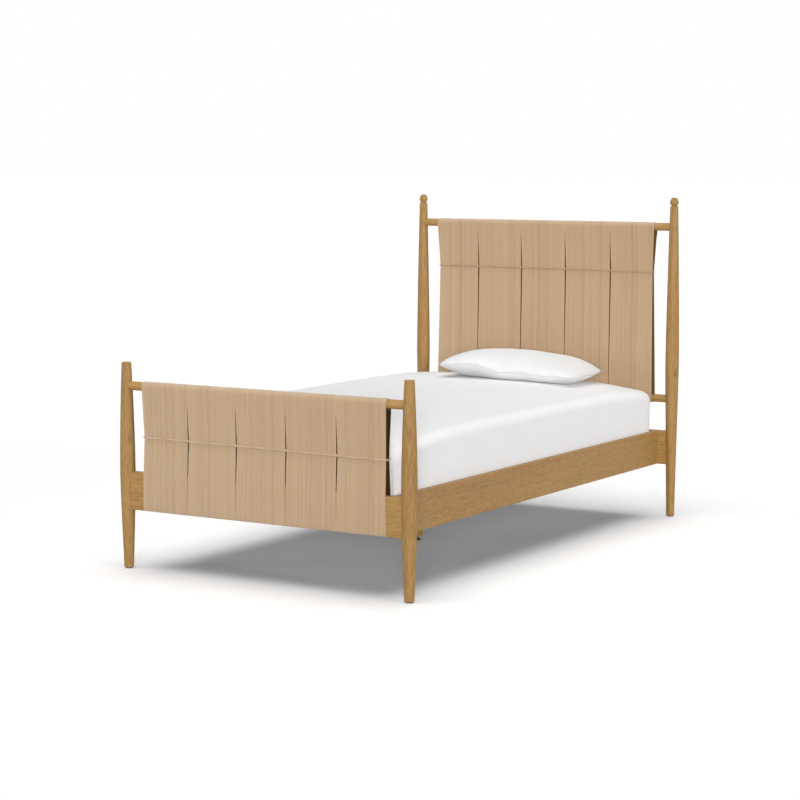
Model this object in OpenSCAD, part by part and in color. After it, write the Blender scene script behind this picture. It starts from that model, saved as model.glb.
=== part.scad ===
// Twin bed with turned posts and corded head and foot panels.
// Millimetres, +Z up. Origin: on the floor, under the middle of the bed.
// -Y is the foot end and +Y is the head end.

/* [Mattress] */
// Width of the mattress, which the whole bed follows
mattress_w = 984; // [860:4:1100]
// Length of the mattress, which the whole bed follows
mattress_l = 1905; // [1700:5:2150]
// Thickness of the mattress in its middle
mattress_t = 258; // [200:2:290]
// Fall of the mattress's top from its middle to its right side
mattress_side_fall = 38; // [5:1:40]
// Fall of the mattress's top from its middle to its left side
mattress_left_fall = 8; // [2:1:40]
// Fall of the mattress's top from its middle to its foot end
mattress_foot_fall = 40; // [5:1:50]
// Fall of the mattress's top from its middle to its head end
mattress_head_fall = 26; // [5:1:50]
// Radius of the mattress's long edges
mattress_edge_r = 34; // [20:1:60]
// Radius of the mattress's lower edges
mattress_low_edge_r = 18; // [8:1:30]
// Radius of the mattress's corners seen from above
mattress_corner_r = 24; // [15:1:60]
// Room between the mattress and each side rail
mattress_side_room = 3; // [2:0.5:20]
// Room between the mattress and each cross board
mattress_end_room = 11.5; // [2:0.5:30]

/* [Posts] */
// Distance from a side rail's inner face out to the post's axis
post_outset = 70; // [60:1:90]
// Diameter of every post at its swell
post_swell_d = 53; // [48:0.5:64]
// Height of the foot posts above the floor
foot_post_top_z = 710; // [690:5:800]
// Height of the foot posts' swell above the floor
foot_swell_z = 330; // [290:5:380]
// Diameter of the foot posts at the top
foot_post_top_d = 33; // [30:0.5:44]
// Diameter of the foot posts at the bottom
foot_post_floor_d = 32.5; // [28:0.5:40]
// Height of the head posts' shoulder above the floor
head_post_top_z = 1210; // [1175:5:1300]
// Height of the head posts' swell above the floor
head_swell_z = 600; // [540:5:680]
// Diameter of the head posts at the shoulder
head_post_top_d = 31.5; // [30:0.5:42]
// Diameter of the head posts at the bottom
head_post_floor_d = 31; // [28:0.5:40]
// Radius round the top of each foot post
foot_post_edge_r = 2; // [0.5:0.5:5]
// Radius round the shoulder of each head post
head_shoulder_r = 5; // [0.5:0.5:5]

/* [Post finials] */
// Height of the faceted bead above the post's shoulder
finial_h = 33; // [26:1:60]
// Width of the bead at its widest, across the corners
finial_d = 34.5; // [26:0.5:36]
// Width of the bead's flat top
finial_top_d = 18; // [12:0.5:22]
// Diameter of the neck groove under the bead
finial_neck_d = 23; // [16:0.5:25]
// Diameter of the tenon that holds the bead in the post
finial_tenon_d = 12; // [8:0.5:16]
// Length of that tenon
finial_tenon_l = 30; // [15:1:34]

/* [Dowel rails] */
// Diameter of the round rails
dowel_d = 30.5; // [24:0.5:33]
// Distance from the foot posts' top down to the rail's axis
foot_rail_drop = 80; // [40:5:110]
// Distance from the head posts' shoulder down to the top rail's axis
head_rail_drop = 80; // [56:1:130]
// Height of the head's lower rail's axis
head_lower_rail_z = 462; // [440:2:520]
// Diameter of the tenons on the rails
dowel_tenon_d = 15; // [10:0.5:18]
// Depth of the shadow groove where a rail meets its post
shoulder_groove = 1.2; // [0.4:0.1:2]
// Width of that groove
shoulder_groove_w = 1.8; // [0.5:0.1:3]

/* [Cross boards] */
// Height of the cross boards' lower edge above the floor
cross_board_z = 205; // [180:5:220]
// Height of each cross board from edge to edge
cross_board_h = 131; // [115:1:150]
// Thickness of the cross boards
cross_board_t = 28; // [26:0.5:36]
// Radius along the boards' and rails' long edges
edge_r = 3; // [1:0.5:5]
// Thickness of the tenons on the cross boards
board_tenon_t = 11; // [8:0.5:14]
// Height of the tenons on the cross boards
board_tenon_h = 95; // [60:5:105]

/* [Side rails and slats] */
// Thickness of the side rails
side_rail_t = 20; // [18:0.5:26]
// Height of the side rails from edge to edge
side_rail_h = 130; // [115:1:145]
// Width of the cleats that carry the slats
cleat_w = 22; // [18:1:30]
// Height of those cleats
cleat_h = 32; // [24:1:36]
// Number of slats
slat_count = 13; // [9:2:13]
// Width of each slat
slat_w = 75; // [60:1:90]
// Thickness of each slat
slat_t = 18; // [15:0.5:22]
// Depth of the slats' top face below the side rails' top edge
slat_drop = 45; // [36:1:52]
// Room between a slat's end and the side rail
slat_side_room = 3; // [1:0.5:8]
// Gap between the end slats and the cross boards
slat_end_gap = 30; // [20:1:60]

/* [Centre support] */
// Height of the bearer under the middle slat
bearer_h = 50; // [40:1:60]
// Thickness of the bearer
bearer_t = 36; // [30:1:44]
// Width of the centre leg
leg_w = 30; // [28:1:50]
// Diameter of the bolt between the leg and the bearer
leg_bolt_d = 10; // [6:1:12]
// Diameter of the leveller's stem
leveller_stem_d = 8; // [6:1:10]
// Diameter of the leveller's foot
leveller_foot_d = 27; // [24:1:40]
// Thickness of the leveller's foot
leveller_foot_t = 6; // [5:1:9]
// Distance that the leveller screws further in
leveller_in = 6; // [4:1:9]
// Distance that the leveller screws further out
leveller_out = 10; // [4:1:12]

/* [Post glides] */
// Diameter of the glide under each post
glide_d = 20; // [16:1:26]
// Thickness of the glide under each post
glide_t = 4; // [3:0.5:6]

/* [Cord panels] */
// Distance from a side rail's inner face in to the panel's edge
panel_inset = 7.5; // [4:0.5:30]
// How much narrower the outer sections of cord are than the others
outer_section_less = 8.75; // [0:0.25:20]
// Thickness of one layer of cord
cord_t = 2.2; // [1.6:0.1:3]
// Ribs that stand for the turns of cord in one section
cord_ribs = 8; // [4:1:12]
// Depth of those ribs
rib_depth = 0.7; // [0.3:0.1:1]
// Height of the tie cord below the axis of the panel's top rail
tie_drop = 175; // [140:2.5:200]
// Diameter of the tie cord
tie_d = 5.5; // [3:0.5:6]
// Outer distance between the foot panel's layers at its tie
foot_pinch = 20; // [16:0.5:26]
// Outer distance between the head panel's layers at its tie
head_pinch = 16; // [14:0.5:24]
// Width of the foot panel's slits at the tie
foot_slit = 5.6; // [5:0.2:8]
// Width of the head panel's slits at the tie
head_slit = 7.2; // [5:0.2:9]
// How far the foot panel's sides draw in at the tie
foot_draw = 4; // [1:0.5:8]
// How far the head panel's sides draw in at the tie
head_draw = 9; // [1:0.5:12]

/* [Pillow] */
// Length of the pillow across the bed
pillow_l = 555; // [480:5:600]
// Depth of the pillow along the bed
pillow_d = 350; // [320:5:380]
// Thickness of the pillow at its crown
pillow_t = 116; // [80:2:140]
// Height of the pillow's seam above the mattress
pillow_seam_h = 36; // [20:1:50]
// How much higher the seam stands at the pillow's corners
pillow_corner_lift = 14; // [0:1:20]
// How far the pillow's sides draw in between its corners
pillow_draw = 16; // [4:1:30]
// Place of the pillow's middle across the bed
pillow_x = 40; // [-60:5:80]
// Distance from the mattress's head end to the pillow's middle
pillow_from_head = 245; // [245:5:320]
// Turn of the pillow on the mattress, in degrees
pillow_turn = 8; // [-8:1:8]

/* [Fixings] */
// Clearance in glued and bolted joints
joint_gap = 0.1; // [0.05:0.05:0.2]
// Clearance between a soft piece and its neighbours
soft_gap = 0.4; // [0.3:0.1:0.8]
// Thickness of the bed rail plates
plate_t = 2.5; // [2:0.5:3]
// Width of the bed rail plates
plate_w = 14; // [12:1:16]
// Distance from the bed rail plates' ends to the rails' edges
plate_margin = 13; // [8:1:20]
// Reach of the hooks on the bed rail plates
hook_reach = 9; // [7:0.5:11]
// Diameter of the wood screws' shanks
screw_d = 4; // [3:0.5:5]
// Diameter of the wood screws' heads
screw_head_d = 8; // [6:0.5:9]
// Screws in each half of a slat cleat, between the slats
cleat_screw_half_count = 3; // [1:1:4]

/* [Hidden] */
SIDE_NAMES = ["left", "right"];

// Places across and along the bed
side_rail_inner_x = mattress_w / 2 + mattress_side_room;
side_rail_mid_x = side_rail_inner_x + side_rail_t / 2;
post_x = side_rail_inner_x + post_outset;
board_inner_y = mattress_l / 2 + mattress_end_room;
post_y = board_inner_y + cross_board_t / 2;
panel_w = 2 * (side_rail_inner_x - panel_inset);
slit_count = 4;
section_count = slit_count + 1;
slit_pitch = (panel_w + 2 * outer_section_less) / section_count;

// Heights
foot_rail_z = foot_post_top_z - foot_rail_drop;
head_rail_z = head_post_top_z - head_rail_drop;
cross_board_top_z = cross_board_z + cross_board_h;
board_mid_z = cross_board_z + cross_board_h / 2;
slat_top_z = cross_board_z + side_rail_h - slat_drop;
slat_z = slat_top_z - slat_t;
mattress_z = slat_top_z + joint_gap;

// Rails' tenons and the foot board's recess for the cord
dowel_r = dowel_d / 2;
tenon_past_axis = 4;
cord_wrap_gap = 0.1;
wrap_recess = cord_t + cord_wrap_gap;

// Cleats, slats and bearer
cleat_z = slat_z - cleat_h;
cleat_mid_x = side_rail_inner_x - cleat_w / 2;
cleat_mid_z = cleat_z + cleat_h / 2;
cleat_end_gap = 24;
cleat_l = 2 * (board_inner_y - cleat_end_gap);
cleat_screw_l = 36;
slat_l = 2 * (side_rail_inner_x - slat_side_room);
slat_pitch = (2 * board_inner_y - 2 * slat_end_gap - slat_w) / (slat_count - 1);
middle_slat = (slat_count - 1) / 2;
slat_edge_r = 2;
slat_screw_l = 38;
bearer_end_gap = 2;
bearer_z = slat_z - bearer_h;
bearer_l = 2 * (side_rail_inner_x - cleat_w - bearer_end_gap);
bearer_screw_inset = 60;
bearer_screw_x = bearer_l / 2 - bearer_screw_inset;

// Centre leg, its bolt and its leveller
leveller_neck_h = 3;
leveller_neck_r = leveller_stem_d / 2 + 3;
leveller_rest_gap = 1;
leg_bottom_z = leveller_foot_t + leveller_neck_h + leveller_in + leveller_rest_gap;
bolt_in_leg = 45;
bolt_in_bearer = 34;
bolt_end_gap = 1;
stem_in_leg = leveller_out + 35;
stem_top_gap = 4;
insert_l = 38;
insert_wall = 3;
insert_r = leveller_stem_d / 2 + insert_wall;
insert_flange_t = 2;
insert_flange_r = insert_r + 4;
running_gap = 0.05;

// Glides' pins
glide_pin_d = 4;
glide_pin_l = 16;

// Bed rail plates and their screws, set from the lower edge of the lower of board and rail
plate_h = min(cross_board_h, side_rail_h) - 2 * plate_margin;
plate_mid_z = cross_board_z + plate_margin + plate_h / 2;
plate_screw_inset = 9;
plate_screw_l = 16;
hook_spacing = 44;
hook_t = 3;
hook_h = 14;
hook_lip_h = 4;
hook_room = 1;
screw_sink = 0.2;
screw_point = 3;
screw_head_t = (screw_head_d - screw_d) / 2;

// Where the parts of a post curve: share of the radius lost, from the swell outward
foot_low_bend = 1.35;
foot_high_bend = 1.75;
head_low_bend = 1.1;
head_high_bend = 1.4;
profile_steps = 12;

HONEY_WOOD = [0.70, 0.52, 0.31];
PALE_WOOD = [0.78, 0.64, 0.45];
CORD = [0.74, 0.60, 0.44];
TIE = [0.80, 0.68, 0.52];
WHITE = [0.93, 0.93, 0.94];
BLACK = [0.08, 0.08, 0.08];
STEEL = [0.62, 0.62, 0.64];

head_sections = [for (i = [1:section_count]) str("head_cord_section_", i)];
foot_sections = [for (i = [1:section_count]) str("foot_cord_section_", i)];
slat_names = [for (i = [1:slat_count]) str(i < 10 ? "slat_0" : "slat_", i)];

// ---- Turned posts ----

// Radius of a post at height z
function swell_r(z, swell_z, end_z, end_r, bend) =
    post_swell_d / 2 - (post_swell_d / 2 - end_r) * pow(abs(z - swell_z) / abs(end_z - swell_z), bend);

function foot_post_r(z) = z < foot_swell_z
    ? swell_r(z, foot_swell_z, 0, foot_post_floor_d / 2, foot_low_bend)
    : swell_r(z, foot_swell_z, foot_post_top_z, foot_post_top_d / 2, foot_high_bend);

function head_post_r(z) = z < head_swell_z
    ? swell_r(z, head_swell_z, 0, head_post_floor_d / 2, head_low_bend)
    : swell_r(z, head_swell_z, head_post_top_z, head_post_top_d / 2, head_high_bend);

function post_r(is_head, z) = is_head ? head_post_r(z) : foot_post_r(z);

// Outline of half a post, with grow added all round its side
function post_outline(is_head, grow) =
    let (
        top_z = is_head ? head_post_top_z : foot_post_top_z,
        swell_z = is_head ? head_swell_z : foot_swell_z,
        low = [for (i = [0:profile_steps - 1]) glide_t + (swell_z - glide_t) * i / profile_steps],
        round_r = is_head ? head_shoulder_r : foot_post_edge_r,
        high_z = top_z - round_r,
        high = [for (i = [0:profile_steps]) swell_z + (high_z - swell_z) * i / profile_steps],
        flat_r = post_r(is_head, high_z) - round_r
    )
    concat(
        [[0, glide_t]],
        [for (z = concat(low, high)) [post_r(is_head, z) + grow, z]],
        [for (a = [30:30:90]) [flat_r + round_r * cos(a) + grow, high_z + round_r * sin(a)]],
        [[0, top_z]]
    );

module post_blank(is_head, grow = 0) {
    rotate_extrude($fn = 96)
        polygon(post_outline(is_head, grow));
}

// Both posts of one end, as something for rails and boards to be fitted against
module both_posts(is_head, grow) {
    for (side = [-1, 1])
        translate([side * post_x, 0, 0])
            post_blank(is_head, grow);
}

module post(side, is_head) {
    rail_heights = is_head ? [head_rail_z, head_lower_rail_z] : [foot_rail_z];
    top_z = is_head ? head_post_top_z : foot_post_top_z;
    tenon_room = post_swell_d / 2 + tenon_past_axis;
    y = is_head ? post_y : -post_y;
    color(HONEY_WOOD)
        translate([side * post_x, y, 0])
        difference() {
            post_blank(is_head);
            for (z = rail_heights)
                translate([side * (tenon_past_axis + joint_gap), 0, z])
                    rotate([0, -90 * side, 0])
                        cylinder(d = dowel_tenon_d + 2 * joint_gap, h = tenon_room, $fn = 48);
            translate([side * (tenon_past_axis + joint_gap - tenon_room / 2), 0, board_mid_z])
                cube([tenon_room, board_tenon_t + 2 * joint_gap, board_tenon_h + 2 * joint_gap], center = true);
            translate([0, 0, glide_t - 1])
                cylinder(d = glide_pin_d + 2 * joint_gap, h = glide_pin_l + 1, $fn = 32);
            if (is_head)
                translate([0, 0, top_z - finial_tenon_l - 1])
                    cylinder(d = finial_tenon_d + 2 * joint_gap, h = finial_tenon_l + 2, $fn = 48);
        }
}

module glide() {
    bevel = 0.8;
    rotate_extrude($fn = 48)
        polygon([
            [0, 0],
            [glide_d / 2 - bevel, 0],
            [glide_d / 2, bevel],
            [glide_d / 2, glide_t],
            [glide_pin_d / 2, glide_t],
            [glide_pin_d / 2, glide_t + glide_pin_l - 1],
            [0, glide_t + glide_pin_l - 1]
        ]);
}

module post_glides() {
    color(BLACK)
        for (x = [-post_x, post_x], y = [-post_y, post_y])
            translate([x, y, 0])
                glide();
}

// Eight-sided bead on a short neck: widest a third of the way up, with a flat top
module finial(side) {
    neck_h = 4;
    bead_h = finial_h - neck_h;
    widest_z = neck_h + bead_h * 0.32;
    color(HONEY_WOOD) translate([side * post_x, post_y, head_post_top_z]) {
        rotate([0, 0, 22.5])
            rotate_extrude($fn = 8)
                polygon([
                    [0, 0],
                    [finial_neck_d / 2 + 1, 0],
                    [finial_neck_d / 2, neck_h * 0.5],
                    [finial_neck_d / 2 + 1, neck_h],
                    [finial_d / 2 - 1.5, widest_z - bead_h * 0.16],
                    [finial_d / 2, widest_z],
                    [finial_d / 2 - 1, widest_z + bead_h * 0.2],
                    [finial_d / 2 - 3.2, widest_z + bead_h * 0.42],
                    [finial_top_d / 2 + 1.5, finial_h - bead_h * 0.09],
                    [finial_top_d / 2, finial_h],
                    [0, finial_h]
                ]);
        translate([0, 0, -finial_tenon_l])
            cylinder(d = finial_tenon_d, h = finial_tenon_l + neck_h * 0.5, $fn = 48);
    }
}

// ---- Dowel rails ----

// A round rail between the posts, shaped to their sides, with a shadow groove at each end
module dowel_rail(is_head, z) {
    reach = post_x - post_r(is_head, z) * 0.35;
    y = is_head ? post_y : -post_y;
    color(HONEY_WOOD) translate([0, y, 0]) {
        difference() {
            translate([0, 0, z])
                rotate([0, 90, 0])
                    cylinder(d = dowel_d - 2 * shoulder_groove, h = 2 * reach, center = true, $fn = 64);
            both_posts(is_head, joint_gap);
        }
        difference() {
            translate([0, 0, z])
                rotate([0, 90, 0])
                    cylinder(d = dowel_d, h = 2 * reach, center = true, $fn = 64);
            both_posts(is_head, shoulder_groove_w);
        }
        translate([0, 0, z])
            rotate([0, 90, 0])
                cylinder(d = dowel_tenon_d, h = 2 * (post_x + tenon_past_axis), center = true, $fn = 48);
    }
}

// ---- Cross boards ----

// Section of a bar with rounded edges, its lower edge at y = 0
module bar_section(t, h, r) {
    translate([-t / 2, r])
        square([t, h - 2 * r]);
    translate([-t / 2 + r, 0])
        square([t - 2 * r, h]);
    for (x = [-t / 2 + r, t / 2 - r], y = [r, h - r])
        translate([x, y])
            circle(r = r, $fn = 32);
}

// A bar along X with rounded long edges, its lower edge at z = 0
module rounded_bar(length, t, h, r) {
    rotate([90, 0, 90])
        translate([0, 0, -length / 2])
            linear_extrude(length)
                bar_section(t, h, r);
}

// Room in a board for one catch plate and, behind it, for the hooks that reach through it
module catch_pocket(side) {
    hook_room_z = hook_spacing + hook_h + 2 * (hook_lip_h + hook_room);
    translate([side * side_rail_mid_x, 0, plate_mid_z]) {
        plate_pocket();
        translate([0, (plate_t + hook_reach + hook_room) / 2, 0])
            cube([hook_t + 2 * hook_room, plate_t + hook_reach + hook_room, hook_room_z], center = true);
    }
}

// Room for one plate let into a face at y = 0, opening to -Y
module plate_pocket() {
    over = 1;
    translate([0, (plate_t + joint_gap - over) / 2, 0])
        cube([plate_w + 2 * joint_gap, plate_t + joint_gap + over, plate_h + 2 * joint_gap], center = true);
}

module cross_board(is_head) {
    share_in_post = 0.2;
    length = 2 * (post_x - post_swell_d * share_in_post);
    recess_w = panel_w + 1;
    cut_h = cross_board_t;
    facing = is_head ? 1 : -1;
    color(HONEY_WOOD)
        translate([0, facing * post_y, 0])
        difference() {
            union() {
                difference() {
                    translate([0, 0, cross_board_z])
                        rounded_bar(length, cross_board_t, cross_board_h, edge_r);
                    both_posts(is_head, joint_gap);
                    if (!is_head)
                        translate([-recess_w / 2, -cross_board_t, cross_board_z - cut_h])
                            cube([recess_w, 2 * cross_board_t, cut_h + wrap_recess + edge_r]);
                }
                if (!is_head)
                    translate([0, 0, cross_board_z + wrap_recess])
                        rounded_bar(recess_w, cross_board_t, cross_board_h / 2, edge_r);
                translate([0, 0, board_mid_z])
                    cube([2 * (post_x + tenon_past_axis), board_tenon_t, board_tenon_h], center = true);
            }
            for (side = [-1, 1])
                mirror([0, is_head ? 0 : 1, 0])
                    translate([0, -cross_board_t / 2, 0]) {
                        catch_pocket(side);
                        for (z = plate_screw_heights)
                            translate([side * side_rail_mid_x, 0, z])
                                rotate([-90, 0, 0])
                                    screw_hole(plate_screw_l + 1);
                    }
        }
}

// ---- Screws ----

// Hole for a screw's shank, from z = 0 to its depth
module screw_hole(depth) {
    translate([0, 0, -1])
        cylinder(d = screw_d + 2 * joint_gap, h = depth + 1, $fn = 32);
}

// A countersunk wood screw for a face at z = 0: its head lies sunk in, its shank runs to +Z
module screw(length) {
    translate([0, 0, screw_sink])
        rotate_extrude($fn = 32)
            polygon([
                [0, 0],
                [screw_head_d / 2, 0],
                [screw_d / 2, screw_head_t],
                [screw_d / 2, length - screw_point],
                [0, length]
            ]);
}

// Hole for a screw's shank and head in a piece whose face is at z = 0
module screw_seat(depth) {
    head_r = screw_head_d / 2 + joint_gap;
    screw_hole(depth);
    translate([0, 0, -1])
        cylinder(r = head_r, h = 1 + screw_sink, $fn = 32);
    translate([0, 0, screw_sink])
        cylinder(r1 = head_r, r2 = screw_d / 2 + joint_gap, h = screw_head_t, $fn = 32);
}

// ---- Bed rail plates ----

plate_screw_heights = [for (side = [-1, 1]) plate_mid_z + side * (plate_h / 2 - plate_screw_inset)];
hook_heights = [for (side = [-1, 1]) plate_mid_z + side * hook_spacing / 2];

// One catch plate, let into a cross board's inner face: front at y = 0, back at y = plate_t
module catch_plate() {
    difference() {
        translate([0, plate_t / 2, plate_mid_z])
            cube([plate_w, plate_t, plate_h], center = true);
        for (z = hook_heights)
            translate([0, plate_t / 2, z])
                cube([hook_t + hook_room, 2 * plate_t, hook_h + 2 * hook_lip_h + hook_room], center = true);
        for (z = plate_screw_heights)
            translate([0, 0, z])
                rotate([-90, 0, 0])
                    screw_seat(plate_t + 1);
    }
}

// One hook plate, let into a side rail's end: front at y = 0, hooks reaching to +Y
module hook_plate() {
    lip_y = plate_t + joint_gap;
    difference() {
        translate([0, -plate_t / 2, plate_mid_z])
            cube([plate_w, plate_t, plate_h], center = true);
        for (z = plate_screw_heights)
            translate([0, 0, z])
                rotate([90, 0, 0])
                    screw_seat(plate_t + 1);
    }
    for (z = hook_heights) {
        translate([-hook_t / 2, -plate_t, z - hook_h / 2])
            cube([hook_t, plate_t + hook_reach, hook_h]);
        translate([-hook_t / 2, lip_y, z - hook_h / 2 - hook_lip_h])
            cube([hook_t, hook_reach - lip_y, hook_h]);
    }
}

// Puts a piece that faces +Y at each of the four places where a side rail meets a cross board
module at_rail_ends() {
    for (side = [-1, 1], facing = [0, 1])
        mirror([0, facing, 0])
            translate([side * side_rail_mid_x, board_inner_y, 0])
                children();
}

module rail_catch_plates() {
    color(STEEL)
        at_rail_ends()
            catch_plate();
}

module rail_hook_plates() {
    color(STEEL)
        at_rail_ends()
            hook_plate();
}

module rail_plate_screws() {
    color(STEEL)
        at_rail_ends()
            for (z = plate_screw_heights, turn = [-90, 90])
                translate([0, 0, z])
                    rotate([turn, 0, 0])
                        screw(plate_screw_l);
}

// ---- Side rails ----

module side_rail(side) {
    length = 2 * board_inner_y - 2 * joint_gap;
    color(HONEY_WOOD)
        difference() {
            translate([side * side_rail_mid_x, 0, cross_board_z])
                rotate([0, 0, 90])
                    rounded_bar(length, side_rail_t, side_rail_h, edge_r);
            at_rail_ends() {
                translate([0, 0, plate_mid_z])
                    rotate([0, 0, 180])
                        plate_pocket();
                for (z = plate_screw_heights)
                    translate([0, 0, z])
                        rotate([90, 0, 0])
                            screw_hole(plate_screw_l + 1);
            }
            for (y = cleat_screw_places)
                translate([side * side_rail_inner_x, y, cleat_mid_z])
                    rotate([0, 90 * side, 0])
                        screw_hole(cleat_screw_l - cleat_w + 1);
        }
}

// The cleats' screws stand halfway between slats, in two halves from the middle of the bed
cleat_screw_step = floor(middle_slat / cleat_screw_half_count);
cleat_screw_places = [
    for (side = [-1, 1], i = [0:cleat_screw_half_count - 1])
        side * (0.5 + i * cleat_screw_step) * slat_pitch
];

module slat_cleat(side) {
    color(PALE_WOOD)
        difference() {
            translate([side * (cleat_mid_x - joint_gap / 2), 0, cleat_mid_z])
                cube([cleat_w - joint_gap, cleat_l, cleat_h], center = true);
            for (y = cleat_screw_places)
                translate([side * (side_rail_inner_x - cleat_w), y, cleat_mid_z])
                    rotate([0, 90 * side, 0])
                        screw_seat(cleat_w + 1);
            for (i = [0:slat_count - 1])
                translate([side * cleat_mid_x, slat_y(i), slat_top_z])
                    rotate([180, 0, 0])
                        screw_hole(slat_screw_l + 1);
        }
}

module cleat_screws() {
    color(STEEL)
        for (side = [-1, 1], y = cleat_screw_places)
            translate([side * (side_rail_inner_x - cleat_w), y, cleat_mid_z])
                rotate([0, 90 * side, 0])
                    screw(cleat_screw_l);
}

// ---- Slats and centre support ----

function slat_y(i) = (i - middle_slat) * slat_pitch;

module slat(i) {
    screw_places = i == middle_slat
        ? [-cleat_mid_x, -bearer_screw_x, bearer_screw_x, cleat_mid_x]
        : [-cleat_mid_x, cleat_mid_x];
    color(PALE_WOOD)
        translate([0, slat_y(i), slat_z])
            difference() {
                rounded_bar(slat_l, slat_w, slat_t, slat_edge_r);
                for (x = screw_places)
                    translate([x, 0, slat_t])
                        rotate([180, 0, 0])
                            screw_seat(slat_t + 1);
            }
}

module slat_screws() {
    color(STEEL) {
        for (i = [0:slat_count - 1], side = [-1, 1])
            translate([side * cleat_mid_x, slat_y(i), slat_top_z])
                rotate([180, 0, 0])
                    screw(slat_screw_l);
        for (side = [-1, 1])
            translate([side * bearer_screw_x, slat_y(middle_slat), slat_top_z])
                rotate([180, 0, 0])
                    screw(slat_screw_l);
    }
}

module centre_bearer() {
    color(PALE_WOOD)
        difference() {
            translate([0, 0, bearer_z])
                rounded_bar(bearer_l, bearer_t, bearer_h, slat_edge_r);
            translate([0, 0, bearer_z - 1])
                cylinder(d = leg_bolt_d + 2 * joint_gap, h = bolt_in_bearer + 1, $fn = 48);
            for (side = [-1, 1])
                translate([side * bearer_screw_x, 0, slat_top_z])
                    rotate([180, 0, 0])
                        screw_hole(slat_screw_l + 1);
        }
}

module centre_leg() {
    leg_top_z = bearer_z - joint_gap;
    leg_h = leg_top_z - leg_bottom_z;
    color(HONEY_WOOD)
        difference() {
            translate([0, 0, leg_bottom_z + leg_h / 2])
                cube([leg_w, leg_w, leg_h], center = true);
            translate([0, 0, leg_bottom_z - 1])
                cylinder(r = insert_r + joint_gap, h = insert_l + 1 + joint_gap, $fn = 48);
            translate([0, 0, leg_bottom_z])
                cylinder(d = leveller_stem_d + 1, h = stem_in_leg + leveller_in + stem_top_gap, $fn = 48);
            translate([0, 0, leg_bottom_z - 1])
                cylinder(r = insert_flange_r + joint_gap, h = 1 + insert_flange_t + joint_gap, $fn = 48);
            translate([0, 0, leg_top_z - bolt_in_leg])
                cylinder(d = leg_bolt_d + 2 * joint_gap, h = bolt_in_leg + 1, $fn = 48);
        }
}

module leg_bolt() {
    color(STEEL)
        translate([0, 0, bearer_z - bolt_in_leg + bolt_end_gap])
            cylinder(d = leg_bolt_d, h = bolt_in_leg + bolt_in_bearer - 2 * bolt_end_gap, $fn = 48);
}

// Threaded sleeve in the leg's lower end, flush with it
module leveller_insert() {
    bore_r = leveller_stem_d / 2 + running_gap;
    color(STEEL)
        translate([0, 0, leg_bottom_z])
            rotate_extrude($fn = 64)
                polygon([
                    [bore_r, 0],
                    [insert_flange_r, 0],
                    [insert_flange_r, insert_flange_t],
                    [insert_r, insert_flange_t],
                    [insert_r, insert_l],
                    [bore_r, insert_l]
                ]);
}

module leveller() {
    foot_r = leveller_foot_d / 2;
    stem_r = leveller_stem_d / 2;
    stem_top_z = leg_bottom_z + stem_in_leg;
    bevel = 1;
    color(BLACK)
        rotate_extrude($fn = 64)
            polygon([
                [0, 0],
                [foot_r - bevel, 0],
                [foot_r, bevel],
                [foot_r, leveller_foot_t - 3 * bevel],
                [foot_r - 3 * bevel, leveller_foot_t - bevel],
                [leveller_neck_r, leveller_foot_t],
                [leveller_neck_r, leveller_foot_t + leveller_neck_h],
                [stem_r, leveller_foot_t + leveller_neck_h],
                [stem_r, stem_top_z - bevel],
                [stem_r - bevel, stem_top_z],
                [0, stem_top_z]
            ]);
}

// ---- Cord panels ----

// Section edges across the bed: five sections, four slits, outer ones a little narrower
function section_edge(i) =
    i == 0 ? -panel_w / 2 : i == section_count ? panel_w / 2 : (i - section_count / 2) * slit_pitch;

// The cord runs round each rail and board edge in steps; its inner flats clear what they go round
wrap_step = 30;
turn_step = 45;
function wrap_inner_r(r, step) = (r + cord_wrap_gap) / cos(step / 2);

// One station of a loop: [inner point, outer point, how far drawn in by the tie], each point [y, z]
function arc_station(r, z, a, draw) =
    let (inner = wrap_inner_r(r, wrap_step))
    [[inner * cos(a), z + inner * sin(a)], [(inner + cord_t) * cos(a), z + (inner + cord_t) * sin(a)], draw];

function face_station(side, half, z, draw) = [[side * half, z], [side * (half + cord_t), z], draw];

// The foot panel's loop: over the rail, in to the tie, out to the board and round its lower edge
function foot_loop() =
    let (
        half = cross_board_t / 2 + cord_wrap_gap,
        tie_half = foot_pinch / 2 - cord_t,
        tie_z = foot_rail_z - tie_drop,
        low_z = cross_board_z + wrap_recess + edge_r,
        turn_r = wrap_inner_r(edge_r, turn_step),
        turn_y = cross_board_t / 2 - edge_r
    )
    concat(
        [for (a = [0:wrap_step:180]) arc_station(dowel_r, foot_rail_z, a, 0)],
        [face_station(-1, tie_half, tie_z, 1)],
        [face_station(-1, half, cross_board_top_z - edge_r, 0.15)],
        [for (a = [180:turn_step:270]) turn_station(-turn_y, low_z, turn_r, a)],
        [for (a = [270:turn_step:360]) turn_station(turn_y, low_z, turn_r, a)],
        [face_station(1, half, cross_board_top_z - edge_r, 0.15)],
        [face_station(1, tie_half, tie_z, 1)]
    );

function turn_station(y, z, r, a) =
    [[y + r * cos(a), z + r * sin(a)], [y + (r + cord_t) * cos(a), z + (r + cord_t) * sin(a)], 0.1];

// The head panel's loop: over the top rail, in to the tie and round the lower rail
function head_loop() =
    let (tie_half = head_pinch / 2 - cord_t, tie_z = head_rail_z - tie_drop)
    concat(
        [for (a = [0:wrap_step:180]) arc_station(dowel_r, head_rail_z, a, 0)],
        [face_station(-1, tie_half, tie_z, 1)],
        [for (a = [180:wrap_step:360]) arc_station(dowel_r, head_lower_rail_z, a, 0.25)],
        [face_station(1, tie_half, tie_z, 1)]
    );

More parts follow.
